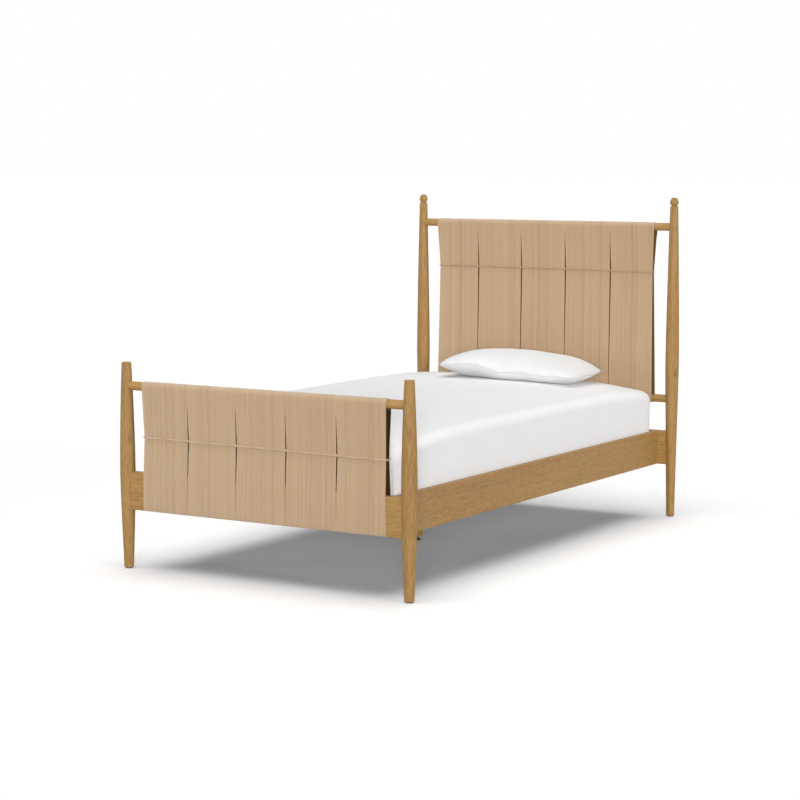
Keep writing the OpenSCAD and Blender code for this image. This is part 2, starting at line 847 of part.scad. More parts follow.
// Points across one station of a section, ribs outside and a flat inside
function station_points(s, x_low, x_high, low_draw, high_draw) =
    let (
        x0 = x_low + low_draw * s[2],
        x1 = x_high - high_draw * s[2],
        valley = 1 - rib_depth / cord_t,
        n = 2 * cord_ribs
    )
    concat(
        [for (i = [0:n])
            let (k = i % 2 == 1 ? 1 : valley, p = s[0] + (s[1] - s[0]) * k)
            [x0 + (x1 - x0) * i / n, p[0], p[1]]],
        [[x1, s[0][0], s[0][1]], [x0, s[0][0], s[0][1]]]
    );

// Triangles that close a ring of rings, each ring with m points
function ring_faces(rings, m) =
    [for (j = [0:rings - 1], i = [0:m - 1], half = [0, 1])
        let (
            a = j * m + i,
            b = j * m + (i + 1) % m,
            c = ((j + 1) % rings) * m + (i + 1) % m,
            d = ((j + 1) % rings) * m + i
        )
        half == 0 ? [a, b, c] : [a, c, d]];

module cord_section(index, is_head) {
    loop = is_head ? head_loop() : foot_loop();
    slit = is_head ? head_slit : foot_slit;
    outer_draw = is_head ? head_draw : foot_draw;
    rest_gap = 0.15;
    low_draw = index == 0 ? outer_draw : slit / 2 - rest_gap;
    high_draw = index == section_count - 1 ? outer_draw : slit / 2 - rest_gap;
    x_low = section_edge(index) + (index == 0 ? 0 : rest_gap);
    x_high = section_edge(index + 1) - (index == section_count - 1 ? 0 : rest_gap);
    m = 2 * cord_ribs + 3;
    color(CORD)
        translate([0, is_head ? post_y : -post_y, 0])
            polyhedron(
                points = [for (s = loop) each station_points(s, x_low, x_high, low_draw, high_draw)],
                faces = ring_faces(len(loop), m)
            );
}

// A round bar from one point to another along one axis
module bar_x(x0, x1, y, r) {
    translate([x0, y, 0])
        rotate([0, 90, 0])
            cylinder(r = r, h = x1 - x0, $fn = 32);
}

module bar_y(y0, y1, x, r) {
    translate([x, y0, 0])
        rotate([-90, 0, 0])
            cylinder(r = r, h = y1 - y0, $fn = 32);
}

// The tie runs round the whole panel, with a lashing and a small knot through each slit
module tie_cord(is_head) {
    r = tie_d / 2;
    bend_r = r + 1;
    pinch = is_head ? head_pinch : foot_pinch;
    draw = is_head ? head_draw : foot_draw;
    run_y = pinch / 2 + soft_gap + r;
    end_x = panel_w / 2 - draw + soft_gap + r;
    tie_z = (is_head ? head_rail_z : foot_rail_z) - tie_drop;
    lashing_r = 1.9;
    knot_r = tie_d * 0.72;
    color(TIE)
        translate([0, is_head ? post_y : -post_y, tie_z]) {
            for (y = [-run_y, run_y])
                bar_x(-end_x + bend_r, end_x - bend_r, y, r);
            for (x = [-end_x, end_x])
                bar_y(-run_y + bend_r, run_y - bend_r, x, r);
            for (turn = [0, 90, 180, 270])
                corner_bend(turn, end_x - bend_r, run_y - bend_r, bend_r, r);
            for (i = [1:slit_count])
                translate([section_edge(i), 0, 0]) {
                    bar_y(-run_y, run_y, 0, lashing_r);
                    for (y = [-run_y, run_y])
                        translate([0, y, 0])
                            sphere(r = knot_r, $fn = 32);
                }
        }
}

// A quarter bend of the tie cord at one corner of its run
module corner_bend(turn, x, y, bend_r, r) {
    sx = turn == 0 || turn == 270 ? 1 : -1;
    sy = turn < 180 ? 1 : -1;
    translate([sx * x, sy * y, 0])
        rotate([0, 0, turn])
            rotate_extrude(angle = 90, $fn = 32)
                translate([bend_r, 0])
                    circle(r = r, $fn = 32);
}

// ---- Mattress ----

corner_steps = 5;
end_steps = 4;
long_side_steps = 8;
outline_count = 4 * (corner_steps + 1) + 2 * (end_steps - 1) + 2 * (long_side_steps - 1);

// One corner of a rounded rectangle, seen from above, q = 0 to 3 anticlockwise from +X +Y
function outline_corner(q, half_x, half_y, r) =
    let (sx = q == 0 || q == 3 ? 1 : -1, sy = q < 2 ? 1 : -1)
    [for (i = [0:corner_steps])
        let (a = 90 * q + 90 * i / corner_steps)
        [sx * (half_x - r) + r * cos(a), sy * (half_y - r) + r * sin(a)]];

// Points between two others, ends left out
function between(a, b, steps) = [for (i = [1:steps - 1]) a + (b - a) * i / steps];

// Rounded rectangle with points along its sides too
function rounded_outline(half_x, half_y, r) =
    let (corners = [for (q = [0:3]) outline_corner(q, half_x, half_y, r)])
    [for (q = [0:3]) each concat(
        corners[q],
        between(corners[q][corner_steps], corners[(q + 1) % 4][0], q % 2 == 0 ? end_steps : long_side_steps)
    )];

// Height of the mattress's crowned top: a round crown across, flatter along the bed
function mattress_top(x, y) =
    let (
        u = min(1, abs(2 * x / mattress_w)),
        v = min(1, abs(2 * y / mattress_l)),
        side_fall = x < 0 ? mattress_left_fall : mattress_side_fall,
        end_fall = y < 0 ? mattress_foot_fall : mattress_head_fall
    )
    mattress_z + mattress_t - side_fall * pow(u, 2.2) - end_fall * pow(v, 4.4);

// Rings of the mattress from its underside to its crown: [inset, rise or drop, follows the top]
function mattress_rings() =
    let (
        r = mattress_edge_r,
        low_r = mattress_low_edge_r,
        crown_w = mattress_w / 2 - r,
        crown_shares = [0.14, 0.36, 0.66, 0.93]
    )
    concat(
        [for (a = [0:45:90]) [low_r * (1 - sin(a)), low_r * (1 - cos(a)), 0]],
        [for (a = [0:22.5:90]) [r * (1 - cos(a)), r * (1 - sin(a)), 1]],
        [for (share = crown_shares) [r + crown_w * share, 0, 1]]
    );

function mattress_ring(ring) =
    let (
        inset = ring[0],
        least_corner_r = 12,
        outline = rounded_outline(
            mattress_w / 2 - inset,
            mattress_l / 2 - inset,
            max(least_corner_r, mattress_corner_r - inset)
        )
    )
    [for (p = outline)
        [p[0], p[1], ring[2] == 0 ? mattress_z + ring[1] : mattress_top(p[0], p[1]) - ring[1]]];

// Faces of a stack of rings of m points, with a fan to a middle point at its foot and its top;
// the two middle points come last among the points
function stack_faces(rings, m) =
    let (foot = rings * m, top = foot + 1, last = (rings - 1) * m)
    concat(
        [for (j = [0:rings - 2], i = [0:m - 1], half = [0, 1])
            let (a = j * m + i, b = j * m + (i + 1) % m, c = a + m, d = b + m)
            half == 0 ? [a, c, d] : [a, d, b]],
        [for (i = [0:m - 1]) [foot, i, (i + 1) % m]],
        [for (i = [0:m - 1]) [top, last + (i + 1) % m, last + i]]
    );

module mattress() {
    rings = mattress_rings();
    color(WHITE)
        polyhedron(
            points = concat(
                [for (ring = rings) each mattress_ring(ring)],
                [[0, 0, mattress_z], [0, 0, mattress_top(0, 0)]]
            ),
            faces = stack_faces(len(rings), outline_count)
        );
}

// ---- Pillow ----

pillow_y = mattress_l / 2 - pillow_from_head;
side_steps = 9;

// A place on the pillow's rim as shares of its half length and half depth, q = 0 to 3 for its sides
function pillow_rim(q, t) =
    let (along = 2 * t - 1)
    q == 0 ? [1, along] : q == 1 ? [-along, 1] : q == 2 ? [-1, -along] : [along, -1];

function pillow_rims() = [for (q = [0:3], i = [0:side_steps - 1]) pillow_rim(q, i / side_steps)];

// A place given in such shares, in millimetres, the sides drawn in between their corners
function pillow_flat(g) =
    [g[0] * (pillow_l / 2 - pillow_draw * (1 - pow(g[1], 2))),
        g[1] * (pillow_d / 2 - pillow_draw * (1 - pow(g[0], 2)))];

// Height of the seam over the mattress, which rises to the corners
function seam_rise(g) = pillow_seam_h + pillow_corner_lift * pow(g[0] * g[1], 2);

// Height of the upper skin over the seam
function bulge(share) = max(0, 1 - pow(abs(share), 2.6));
function upper_rise(g) = (pillow_t - pillow_seam_h) * pow(bulge(g[0]) * bulge(g[1]), 0.8);

// Share of the seam's height that the lower skin has reached, s = 1 at the seam
function lower_share(s) = pow(max(0, (s - 0.62) / 0.38), 1.8);

function pillow_turned(p) =
    [pillow_x + p[0] * cos(pillow_turn) - p[1] * sin(pillow_turn),
        pillow_y + p[0] * sin(pillow_turn) + p[1] * cos(pillow_turn)];

// A point of the pillow's skin at share s of the way out to a place on its rim
function pillow_skin(rim, s, is_upper) =
    let (
        g = s * rim,
        q = pillow_turned(pillow_flat(g)),
        base = mattress_top(q[0], q[1]) + 2 * soft_gap
    )
    [q[0], q[1], base + seam_rise(g) * (is_upper ? 1 : lower_share(s)) + (is_upper ? upper_rise(g) : 0)];

function pillow_ring(s, is_upper) = [for (rim = pillow_rims()) pillow_skin(rim, s, is_upper)];

module pillow() {
    lower = [0.25, 0.62, 0.78, 0.92];
    upper = [1, 0.95, 0.85, 0.68, 0.48, 0.25, 0.08];
    color(WHITE)
        polyhedron(
            points = concat(
                [for (s = lower) each pillow_ring(s, false)],
                [for (s = upper) each pillow_ring(s, true)],
                [for (is_upper = [false, true]) pillow_skin([0, 1], 0, is_upper)]
            ),
            faces = stack_faces(len(lower) + len(upper), 4 * side_steps)
        );
}

// ---- The bed, one node at a time ----

for (i = [0:1]) {
    post(2 * i - 1, true);
    finial(2 * i - 1);
    post(2 * i - 1, false);
    side_rail(2 * i - 1);
    slat_cleat(2 * i - 1);
}
dowel_rail(true, head_rail_z);  // head_top_rail
dowel_rail(true, head_lower_rail_z);  // head_lower_rail
cross_board(true);  // head_cross_board
for (i = [0:section_count - 1])
    cord_section(i, true);
tie_cord(true);  // head_tie_cord
dowel_rail(false, foot_rail_z);  // foot_top_rail
cross_board(false);  // foot_cross_board
for (i = [0:section_count - 1])
    cord_section(i, false);
tie_cord(false);  // foot_tie_cord
post_glides();
cleat_screws();
rail_hook_plates();
rail_catch_plates();
rail_plate_screws();
for (i = [0:slat_count - 1])
    slat(i);
slat_screws();
centre_bearer();
centre_leg();
leg_bolt();
leveller_insert();
leveller();
mattress();
pillow();
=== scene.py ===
"""Twin bed with turned posts and corded end panels, dressed round its CAD frame.

Metres, +Z up. The origin is on the floor under the middle of the bed, -Y is the foot end.
"""

import logging
import math
from dataclasses import dataclass
from enum import Enum

import bpy
import numpy as np
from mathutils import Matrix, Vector, noise


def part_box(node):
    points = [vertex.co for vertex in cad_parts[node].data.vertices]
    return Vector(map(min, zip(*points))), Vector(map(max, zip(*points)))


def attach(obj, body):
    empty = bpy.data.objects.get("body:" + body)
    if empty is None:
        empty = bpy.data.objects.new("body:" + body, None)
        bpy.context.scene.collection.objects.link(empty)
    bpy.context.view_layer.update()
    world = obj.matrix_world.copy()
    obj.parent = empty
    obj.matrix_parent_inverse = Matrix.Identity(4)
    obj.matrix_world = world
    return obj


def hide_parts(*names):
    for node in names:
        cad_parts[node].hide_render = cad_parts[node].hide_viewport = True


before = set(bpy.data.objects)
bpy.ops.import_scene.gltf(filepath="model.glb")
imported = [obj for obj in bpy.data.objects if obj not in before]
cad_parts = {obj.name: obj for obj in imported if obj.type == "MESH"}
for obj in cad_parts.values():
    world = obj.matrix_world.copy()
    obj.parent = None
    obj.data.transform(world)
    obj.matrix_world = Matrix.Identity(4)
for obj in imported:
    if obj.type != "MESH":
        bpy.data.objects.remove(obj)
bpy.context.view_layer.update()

LOG = logging.getLogger("rope_bed")
Colour = tuple[float, float, float]
Place = tuple[float, float, float]
Stations = list[list[float]]
Socket = bpy.types.NodeSocket

UP = np.array([0.0, 0.0, 1.0])
SIX_SIDES = np.radians(np.arange(0, 360, 60))
EIGHT_SIDES = np.radians(np.arange(0, 360, 45))


class Grain(Enum):
    """The way a timber's grain runs, as the order of (across, across, along) axes."""

    ACROSS_BED = (1, 2, 0)
    ALONG_BED = (0, 2, 1)
    UPRIGHT = (0, 1, 2)


class End(Enum):
    """An end of the bed, with the side of the origin that it is on."""

    HEAD = 1
    FOOT = -1


# ---- Materials ----


def shaded(colour: Colour, *factors: float) -> Colour:
    """A colour with its channels scaled by one factor, or by one for each, up to white."""
    by = factors * 3 if len(factors) == 1 else factors
    return tuple(min(1.0, channel * factor) for channel, factor in zip(colour, by))


class Nodes:
    """A node tree in the making, with short calls for its nodes."""

    def __init__(self, tree: bpy.types.NodeTree) -> None:
        """Takes the tree."""
        self.tree = tree

    def feed(self, socket: Socket, value: object) -> None:
        """Links a socket into another, or sets its value.

        Args:
            socket: The input to feed.
            value: An output socket, or a plain number, vector or colour.
        """
        if isinstance(value, Socket):
            self.tree.links.new(value, socket)
        elif socket.type == "RGBA":
            socket.default_value = (*value, 1.0)
        else:
            socket.default_value = value

    def node(self, kind: str, inputs: dict | None = None, **settings: object) -> bpy.types.Node:
        """Adds a node.

        Args:
            kind: The node's type, without its ShaderNode prefix.
            inputs: Values or sockets by input name or number.
            **settings: Properties of the node.

        Returns:
            The new node.
        """
        made = self.tree.nodes.new("ShaderNode" + kind)
        for key, value in settings.items():
            setattr(made, key, value)
        for key, value in (inputs or {}).items():
            self.feed(made.inputs[key], value)
        return made

    def math(self, operation: str, *values: object) -> Socket:
        """Joins numbers with one operation of the Math node."""
        return self.node("Math", dict(enumerate(values)), operation=operation).outputs[0]

    def times(self, first: object, second: object) -> Socket:
        """The product of two numbers."""
        return self.math("MULTIPLY", first, second)

    def plus(self, first: object, *others: object) -> Socket:
        """The sum of numbers.

        Args:
            first: A number or socket.
            *others: More of them.

        Returns:
            The sum.
        """
        for other in others:
            first = self.math("ADD", first, other)
        return first

    def swung(self, start: object, parts: tuple[tuple[Socket, float], ...]) -> Socket:
        """Moves a value by how far each part is from 0.5, times the part's weight.

        Args:
            start: The number or socket to begin with.
            parts: Sockets from 0 to 1, each with its weight.

        Returns:
            The moved value.
        """
        for part, weight in parts:
            start = self.plus(start, self.times(self.plus(part, -0.5), weight))
        return start

    def seen_directly(self) -> Socket:
        """1 for rays from the camera, a mirror or glass, else 0.

        Returns:
            The socket that says so.
        """
        path = self.node("LightPath").outputs
        seen = path["Is Camera Ray"]
        for name in ("Is Glossy Ray", "Is Transmission Ray"):
            seen = self.math("MAXIMUM", seen, path[name])
        return seen


class Look(Nodes):
    """One material in the making, with short calls for its textures and colours."""

    def __init__(self, name: str) -> None:
        """Starts a node material of that name.

        Args:
            name: The material's name.
        """
        self.material = bpy.data.materials.new(name)
        self.material.use_nodes = True
        super().__init__(self.material.node_tree)
        self.shader = self.tree.nodes["Principled BSDF"]

    def place(self) -> Socket:
        """The piece's own coordinates, in metres."""
        return self.node("TexCoord").outputs["Object"]

    def uv(self, name: str) -> Socket:
        """The mesh's coordinates of that name."""
        return self.node("UVMap", uv_map=name).outputs[0]

    def normal(self) -> Socket:
        """The surface's normal."""
        return self.node("NewGeometry").outputs["Normal"]

    def parts(self, vector: object) -> list[Socket]:
        """A vector's three parts."""
        return list(self.node("SeparateXYZ", {0: vector}).outputs)

    def vector(self, *parts: object) -> Socket:
        """A vector out of up to three parts."""
        return self.node("CombineXYZ", dict(enumerate(parts))).outputs[0]

    def turned(self, vector: object, grain: Grain) -> Socket:
        """A vector with its axes in a grain's order."""
        parts = self.parts(vector)
        return self.vector(*(parts[axis] for axis in grain.value))

    def shifted(self, vector: object, by: object) -> Socket:
        """A vector moved by another."""
        return self.node("VectorMath", {0: vector, 1: by}, operation="ADD").outputs[0]

    def scaled(self, vector: object, factors: Place) -> Socket:
        """A vector with each axis stretched by its own factor."""
        return self.node("VectorMath", {0: vector, 1: factors}, operation="MULTIPLY").outputs[0]

    def between(self, value: object, low: float, high: float) -> Socket:
        """Turns a value's stretch from low to high into 0 to 1, smoothly."""
        inputs = {"Value": value, "From Min": low, "From Max": high}
        return self.node("MapRange", inputs, interpolation_type="SMOOTHSTEP").outputs[0]

    def wave(self, value: object, rate: float) -> Socket:
        """A sine wave, its rate in radians for each unit of the value."""
        return self.math("SINE", self.times(value, rate))

    def noise(self, vector: object, scale: float | Place, detail: float = 2.0, twist: float = 0.0) -> Socket:
        """Soft noise from 0 to 1 about 0.5.

        Args:
            vector: Where to read it.
            scale: Its features for each unit, or for each unit of each axis.
            detail: How many finer layers it has.
            twist: How far it is distorted.

        Returns:
            The noise.
        """
        if isinstance(scale, tuple):
            vector, scale = self.scaled(vector, scale), 1.0
        inputs = {"Vector": vector, "Scale": scale, "Detail": detail, "Distortion": twist}
        return self.node("TexNoise", inputs).outputs[0]

    def ramp(self, value: object, stops: tuple[tuple[float, Colour], ...]) -> Socket:
        """A colour for each value.

        Args:
            value: The number that picks the colour.
            stops: Positions from 0 to 1, each with its colour.

        Returns:
            The colour socket.
        """
        made = self.node("ValToRGB", {"Fac": value})
        elements = made.color_ramp.elements
        while len(elements) < len(stops):
            elements.new(0.5)
        for element, (position, colour) in zip(elements, stops):
            element.position = position
            element.color = (*colour, 1.0)
        return made.outputs[0]

    def mix(self, share: object, first: object, second: object) -> Socket:
        """Blends two colours by a share from 0 to 1.

        Args:
            share: How much of the second colour shows.
            first: A colour.
            second: Another colour.

        Returns:
            The blended colour.
        """
        made = self.node("Mix", data_type="RGBA")
        for number, value in ((0, share), (6, first), (7, second)):
            self.feed(made.inputs[number], value)
        return made.outputs[2]

    def bump(self, height: object, strength: float, distance: float) -> None:
        """Raises the surface by a height from 0 to 1 over a distance in metres."""
        made = self.node("Bump", {"Height": height, "Strength": strength, "Distance": distance})
        self.feed(self.shader.inputs["Normal"], made.outputs[0])

    def finish(self, **sockets: object) -> bpy.types.Material:
        """Feeds the surface shader and hands the material over.

        Args:
            **sockets: Input names of the shader with _ for spaces, and their values.

        Returns:
            The finished material.
        """
        for name, value in sockets.items():
            self.feed(self.shader.inputs[name.replace("_", " ")], value)
        return self.material


@dataclass(frozen=True)
class WoodFinish:
    """Oiled hardwood with growth rings, pores, streaks, small knots and paler worn edges."""

    name: str
    dark: Colour
    middle: Colour
    light: Colour
    knot_share: float = 0.3
    knots_each_way: Place = (13, 13, 4.2)
    ring_rate: float = 1150.0
    ring_tone: float = -0.045
    roughness: float = 0.5
    worn_r: float = 0.004

    def knotted(self, look: Look, vector: Socket, base: Socket) -> Socket:
        """Adds small knots, each in a cell of its own, with a darker core.

        Args:
            look: The material in the making.
            vector: Places in the wood, along its grain.
            base: The wood's colour without knots.

        Returns:
            The colour with knots.
        """
        places = look.scaled(vector, self.knots_each_way)
        cells = look.node("TexVoronoi", {"Vector": places, "Scale": 1.0}).outputs
        chance = look.node("SeparateColor", {0: cells["Color"]}).outputs[0]
        gate = look.between(chance, 1 - self.knot_share, 1 - self.knot_share + 0.05)
        halo = (0.16, 0.03, 0.45, self.dark)
        core = (0.07, 0.025, 0.75, shaded(self.dark, 0.35))
        for outer, inner, share, tone in (halo, core):
            near = look.times(look.between(cells["Distance"], outer, inner), gate)
            base = look.mix(look.times(near, share), base, tone)
        return base

    def worn(self, look: Look, patches: Socket, base: Socket) -> Socket:
        """Wears the wood's edges paler in patches.

        Args:
            look: The material in the making.
            patches: Noise that says where.
            base: The wood's colour.

        Returns:
            The colour with worn edges.
        """
        soft = look.node("Bevel", {"Radius": self.worn_r}, samples=4).outputs[0]
        bend = look.node("VectorMath", {0: soft, 1: look.normal()}, operation="DOT_PRODUCT").outputs["Value"]
        share = look.times(look.between(bend, 0.985, 0.86), look.between(patches, 0.3, 0.6))
        return look.mix(look.times(share, 0.4), base, self.light)

    def material(self, piece: str, grain: Grain, shift: Place) -> bpy.types.Material:
        """Builds the wood for one piece.

        Args:
            piece: The piece's name.
            grain: The way its grain runs.
            shift: Where in the tree the piece was cut, in metres.

        Returns:
            The material.
        """
        look = Look(f"{self.name}_{piece}")
        vector = look.turned(look.shifted(look.place(), shift), grain)
        sway = look.noise(vector, (7, 7, 1.6))
        swayed = look.shifted(vector, look.vector(look.times(sway, 0.05), look.times(sway, 0.03)))
        x, y, _ = look.parts(swayed)
        from_pith = look.math("SQRT", look.plus(look.math("POWER", x, 2.0), look.math("POWER", y, 2.0)))
        ring = look.math("MULTIPLY_ADD", look.wave(from_pith, self.ring_rate), 0.5, 0.5)
        rings = look.math("POWER", ring, 2.0)
        broad = look.noise(vector, (5, 5, 0.9))
        streak = look.noise(swayed, (95, 95, 2.2), 3)
        mottle = look.noise(vector, (150, 150, 32))
        fibre = look.noise(swayed, (800, 800, 16))
        pores = look.between(look.noise(swayed, (1250, 1250, 55), 1), 0.62, 0.72)

        tone = look.swung(0.51, ((broad, 0.42), (streak, 0.42), (mottle, 0.6), (fibre, 0.5)))
        tone = look.plus(tone, look.times(rings, self.ring_tone))
        base = look.ramp(tone, ((0.12, self.dark), (0.5, self.middle), (0.88, self.light)))
        base = self.knotted(look, vector, base)
        base = look.mix(look.times(pores, 0.5), base, shaded(self.dark, 0.6))
        sheen = look.math("MULTIPLY_ADD", streak, 0.16, self.roughness - 0.08)
        height = look.plus(look.times(fibre, 0.35), look.times(pores, -0.6), look.times(rings, -0.12))
        look.bump(height, 0.35, 0.0004)
        return look.finish(
            Base_Color=self.worn(look, mottle, base), Roughness=look.plus(sheen, look.times(pores, 0.12)),
            Specular_IOR_Level=0.28,
        )


@dataclass(frozen=True)
class CordFinish:
    """Twisted paper cord: slanting plies, fibres along them and a tone of its own for each turn, with painted
    shade in the grooves between the plies, on the inner faces and, where asked, on the underside.
    """

    name: str
    colour: Colour
    ply_pitch: float
    plies: int = 3
    # Painted shade: a near-black colour for the inner faces, standing in for the dark between a panel's
    # faces; also the colour of painted undersides.
    painted_shade: Colour = (0.075, 0.034, 0.008)
    # How much of the colour the underside keeps under its painted shade; 1 paints none.
    underside: float = 1.0

    def material(self) -> bpy.types.Material:
        """Builds the cord's material from the strand coordinates and tones of its mesh.

        Returns:
            The material.
        """
        look = Look(self.name)
        u, v, _ = look.parts(look.uv("strand"))
        tone = look.node("Attribute", attribute_name="tone").outputs["Fac"]
        turns = look.plus(look.math("DIVIDE", u, self.ply_pitch), v)
        ridge = look.wave(look.math("FRACT", look.times(turns, float(self.plies))), math.pi)
        strand = look.vector(look.times(u, 90.0), look.times(turns, 14.0), look.times(tone, 40.0))
        fibre = look.noise(strand, 1, 3)
        slow = look.noise(look.vector(look.times(u, 26.0), look.times(tone, 60.0)), 1)
        wide = look.noise(look.place(), (30, 5, 2.5))
        value = look.swung(tone, ((fibre, 0.30), (slow, 0.13), (wide, 0.07)))
        dark = shaded(self.colour, 0.66, 0.61, 0.56)
        pale = shaded(self.colour, 1.2, 1.22, 1.27)
        base = look.ramp(value, ((0.15, dark), (0.5, self.colour), (0.85, pale)))
        # Painted shade in the grooves between the plies.
        base = look.mix(look.times(look.between(ridge, 0.55, 0.0), 0.42), base, shaded(self.colour, 0.42))
        # Painted shade: the underside darkens towards the painted-shade colour as the surface turns down.
        if self.underside < 1.0:
            upward = look.parts(look.normal())[2]
            painted_underside_shade = look.times(look.between(upward, 0.15, -0.6), 1.0 - self.underside)
            base = look.mix(painted_underside_shade, base, self.painted_shade)
        look.bump(look.plus(ridge, look.times(fibre, 0.35)), 0.55, 0.0005)
        return look.finish(
            Base_Color=base, Roughness=look.math("MULTIPLY_ADD", fibre, 0.2, 0.46), Specular_IOR_Level=0.45,
            Sheen_Weight=0.8, Sheen_Roughness=0.5,
        )

    def painted_shade_material(self) -> bpy.types.Material:
        """Builds the cord's inner side as painted shade: a near-black colour for the dark between a panel's
        faces.

        Returns:
            The material.
        """
        look = Look(f"{self.name}_inside")
        fibre = look.noise(look.uv("strand"), (90, 14, 1), 3)
        base = look.mix(fibre, shaded(self.painted_shade, 0.6), shaded(self.painted_shade, 1.5))
        look.bump(fibre, 0.4, 0.0004)
        rough = look.math("MULTIPLY_ADD", fibre, 0.1, 0.85)
        return look.finish(Base_Color=base, Roughness=rough, Specular_IOR_Level=0.1)


@dataclass(frozen=True)
class CottonFinish:
    """Washed cotton with a plain weave, slubs in its yarns and a little sheen."""

    name: str
    colour: Colour
    yarn: float = 0.00045

    def material(self) -> bpy.types.Material:
        """Builds the cotton's material from the cloth coordinates of its mesh.

        Returns:
            The material.
        """
        look = Look(self.name)
        cloth = look.uv("cloth")
        u, v, _ = look.parts(cloth)
        rate = math.pi / self.yarn
        weave = look.math("MULTIPLY_ADD", look.times(look.wave(u, rate), look.wave(v, rate)), 0.5, 0.5)
        slub_u = look.noise(cloth, (1600, 30, 1))
        slub_v = look.noise(cloth, (30, 1600, 1))
        cloud = look.noise(cloth, (6, 6, 6), 3)
        crease = look.noise(cloth, (26, 26, 1), 4, 0.6)
        value = look.swung(0.5, ((slub_u, 0.2), (slub_v, 0.2), (cloud, 0.35), (weave, 0.14)))
        low, high = shaded(self.colour, 0.955), shaded(self.colour, 1.02)
        base = look.ramp(value, ((0.25, low), (0.5, self.colour), (0.75, high)))
        slubs = look.times(look.plus(slub_u, slub_v), 0.08)
        look.bump(look.plus(look.times(weave, 0.10), look.times(crease, 0.55), slubs), 0.3, 0.0011)
        return look.finish(
            Base_Color=base, Roughness=look.math("MULTIPLY_ADD", cloud, 0.1, 0.8), Specular_IOR_Level=0.2,
            Sheen_Weight=0.2, Sheen_Roughness=0.45,
        )


@dataclass(frozen=True)
class TickingFinish:
    """Mattress ticking: a close twill with faint woven stripes."""

    name: str
    colour: Colour
    stripe: Colour
    stripe_pitch: float = 0.032
    twill_pitch: float = 0.0011

    def material(self) -> bpy.types.Material:
        """Builds the ticking's material from the cloth coordinates of its mesh.

        Returns:
            The material.
        """
        look = Look(self.name)
        cloth = look.uv("cloth")
        u, v, _ = look.parts(cloth)
        stripe = look.between(look.wave(u, math.tau / self.stripe_pitch), 0.80, 0.88)
        twill = look.wave(look.plus(u, v), math.tau / self.twill_pitch)
        cloud = look.noise(cloth, (9, 9, 9), 3)
        base = look.mix(look.times(stripe, 0.55), self.colour, self.stripe)
        base = look.mix(look.times(cloud, 0.14), base, shaded(self.colour, 0.7))
        look.bump(look.plus(twill, look.times(cloud, 2.0)), 0.3, 0.0004)
        rough = look.math("MULTIPLY_ADD", cloud, 0.12, 0.8)
        return look.finish(Base_Color=base, Roughness=rough, Specular_IOR_Level=0.2)


@dataclass(frozen=True)
class MetalFinish:
    """Zinc-plated steel with brush lines, cloudy plating and small scratches."""

    name: str
    colour: Colour

    def material(self, piece: str, brushed: Grain) -> bpy.types.Material:
        """Builds the metal for one piece, brushed along an axis.

        Args:
            piece: The piece's name.
            brushed: The way its brush lines run.

        Returns:
            The material.
        """
        look = Look(f"{self.name}_{piece}")
        vector = look.turned(look.place(), brushed)
        brush = look.noise(vector, (4000, 4000, 60))
        cloud = look.noise(vector, 120, 3)
        spots = look.between(look.noise(vector, 900), 0.62, 0.74)
        base = look.mix(look.times(cloud, 0.5), self.colour, shaded(self.colour, 0.72))
        base = look.mix(look.times(spots, 0.35), base, shaded(self.colour, 0.45))
        rough = look.plus(look.times(brush, 0.25), look.times(cloud, 0.2), 0.12)
        look.bump(brush, 0.2, 0.0001)
        return look.finish(Base_Color=base, Roughness=rough, Metallic=1.0)


@dataclass(frozen=True)
class PlasticFinish:
    """Black moulded plastic with a fine spark-eroded grain, scuffs and dust."""

    name: str
    colour: Colour
    scuffed: Colour = (0.11, 0.105, 0.10)
    dusty: Colour = (0.16, 0.15, 0.13)

    def material(self) -> bpy.types.Material:
        """Builds the plastic's material.

        Returns:
            The material.
        """
        look = Look(self.name)
        place = look.place()
        grain = look.noise(place, 2600)
        scuff = look.between(look.noise(place, (300, 300, 60), 3), 0.58, 0.72)
        base = look.mix(look.times(scuff, 0.3), self.colour, self.scuffed)
        base = look.mix(look.times(look.noise(place, 90, 3), 0.12), base, self.dusty)
        rough = look.plus(look.times(scuff, 0.2), look.times(grain, 0.15), 0.42)
        look.bump(grain, 0.25, 0.0002)
        return look.finish(Base_Color=base, Roughness=rough, Specular_IOR_Level=0.4)


# ---- Meshes ----


@dataclass
class Skin:
    """Points, faces, cloth or strand coordinates and tones that become one piece's mesh."""

    points: np.ndarray
    faces: list[list[int]]
    uvs: np.ndarray
    tones: np.ndarray | None = None

    @staticmethod
    def joined(skins: list["Skin"]) -> "Skin":
        """One skin out of several.

        Args:
            skins: The skins, all with tones or all without.

        Returns:
            The joined skin.
        """
        starts = np.cumsum([0] + [len(s.points) for s in skins])
        faces = [[i + start for i in face] for s, start in zip(skins, starts) for face in s.faces]
        tones = None if skins[0].tones is None else np.concatenate([s.tones for s in skins])
        points, uvs = (np.concatenate([getattr(s, field) for s in skins]) for field in ("points", "uvs"))
        return Skin(points, faces, uvs, tones)

    def piece(self, name: str, uv_name: str, material: bpy.types.Material) -> bpy.types.Object:
        """Makes the Blender object.

        Args:
            name: The piece's name.
            uv_name: The name its coordinates get.
            material: Its finish.

        Returns:
            The object, linked to the scene.
        """
        mesh = bpy.data.meshes.new(name)
        mesh.from_pydata(self.points.tolist(), [], self.faces)
        mesh.uv_layers.new(name=uv_name).data.foreach_set("uv", self.uvs.astype(np.float32).ravel())
        if self.tones is not None:
            tone = mesh.attributes.new("tone", "FLOAT", "POINT")
            tone.data.foreach_set("value", self.tones.astype(np.float32))
        mesh.shade_smooth()
        mesh.materials.append(material)
        made = bpy.data.objects.new(name, mesh)
        bpy.context.scene.collection.objects.link(made)
        return made


def hand_over(piece: bpy.types.Object, body: str) -> None:
    """Gives a finished piece its body, and reports it.

    Args:
        piece: The piece.
        body: The body that it moves with.
    """
    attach(piece, body)
    LOG.info("%s: %d faces", piece.name, len(piece.data.polygons))


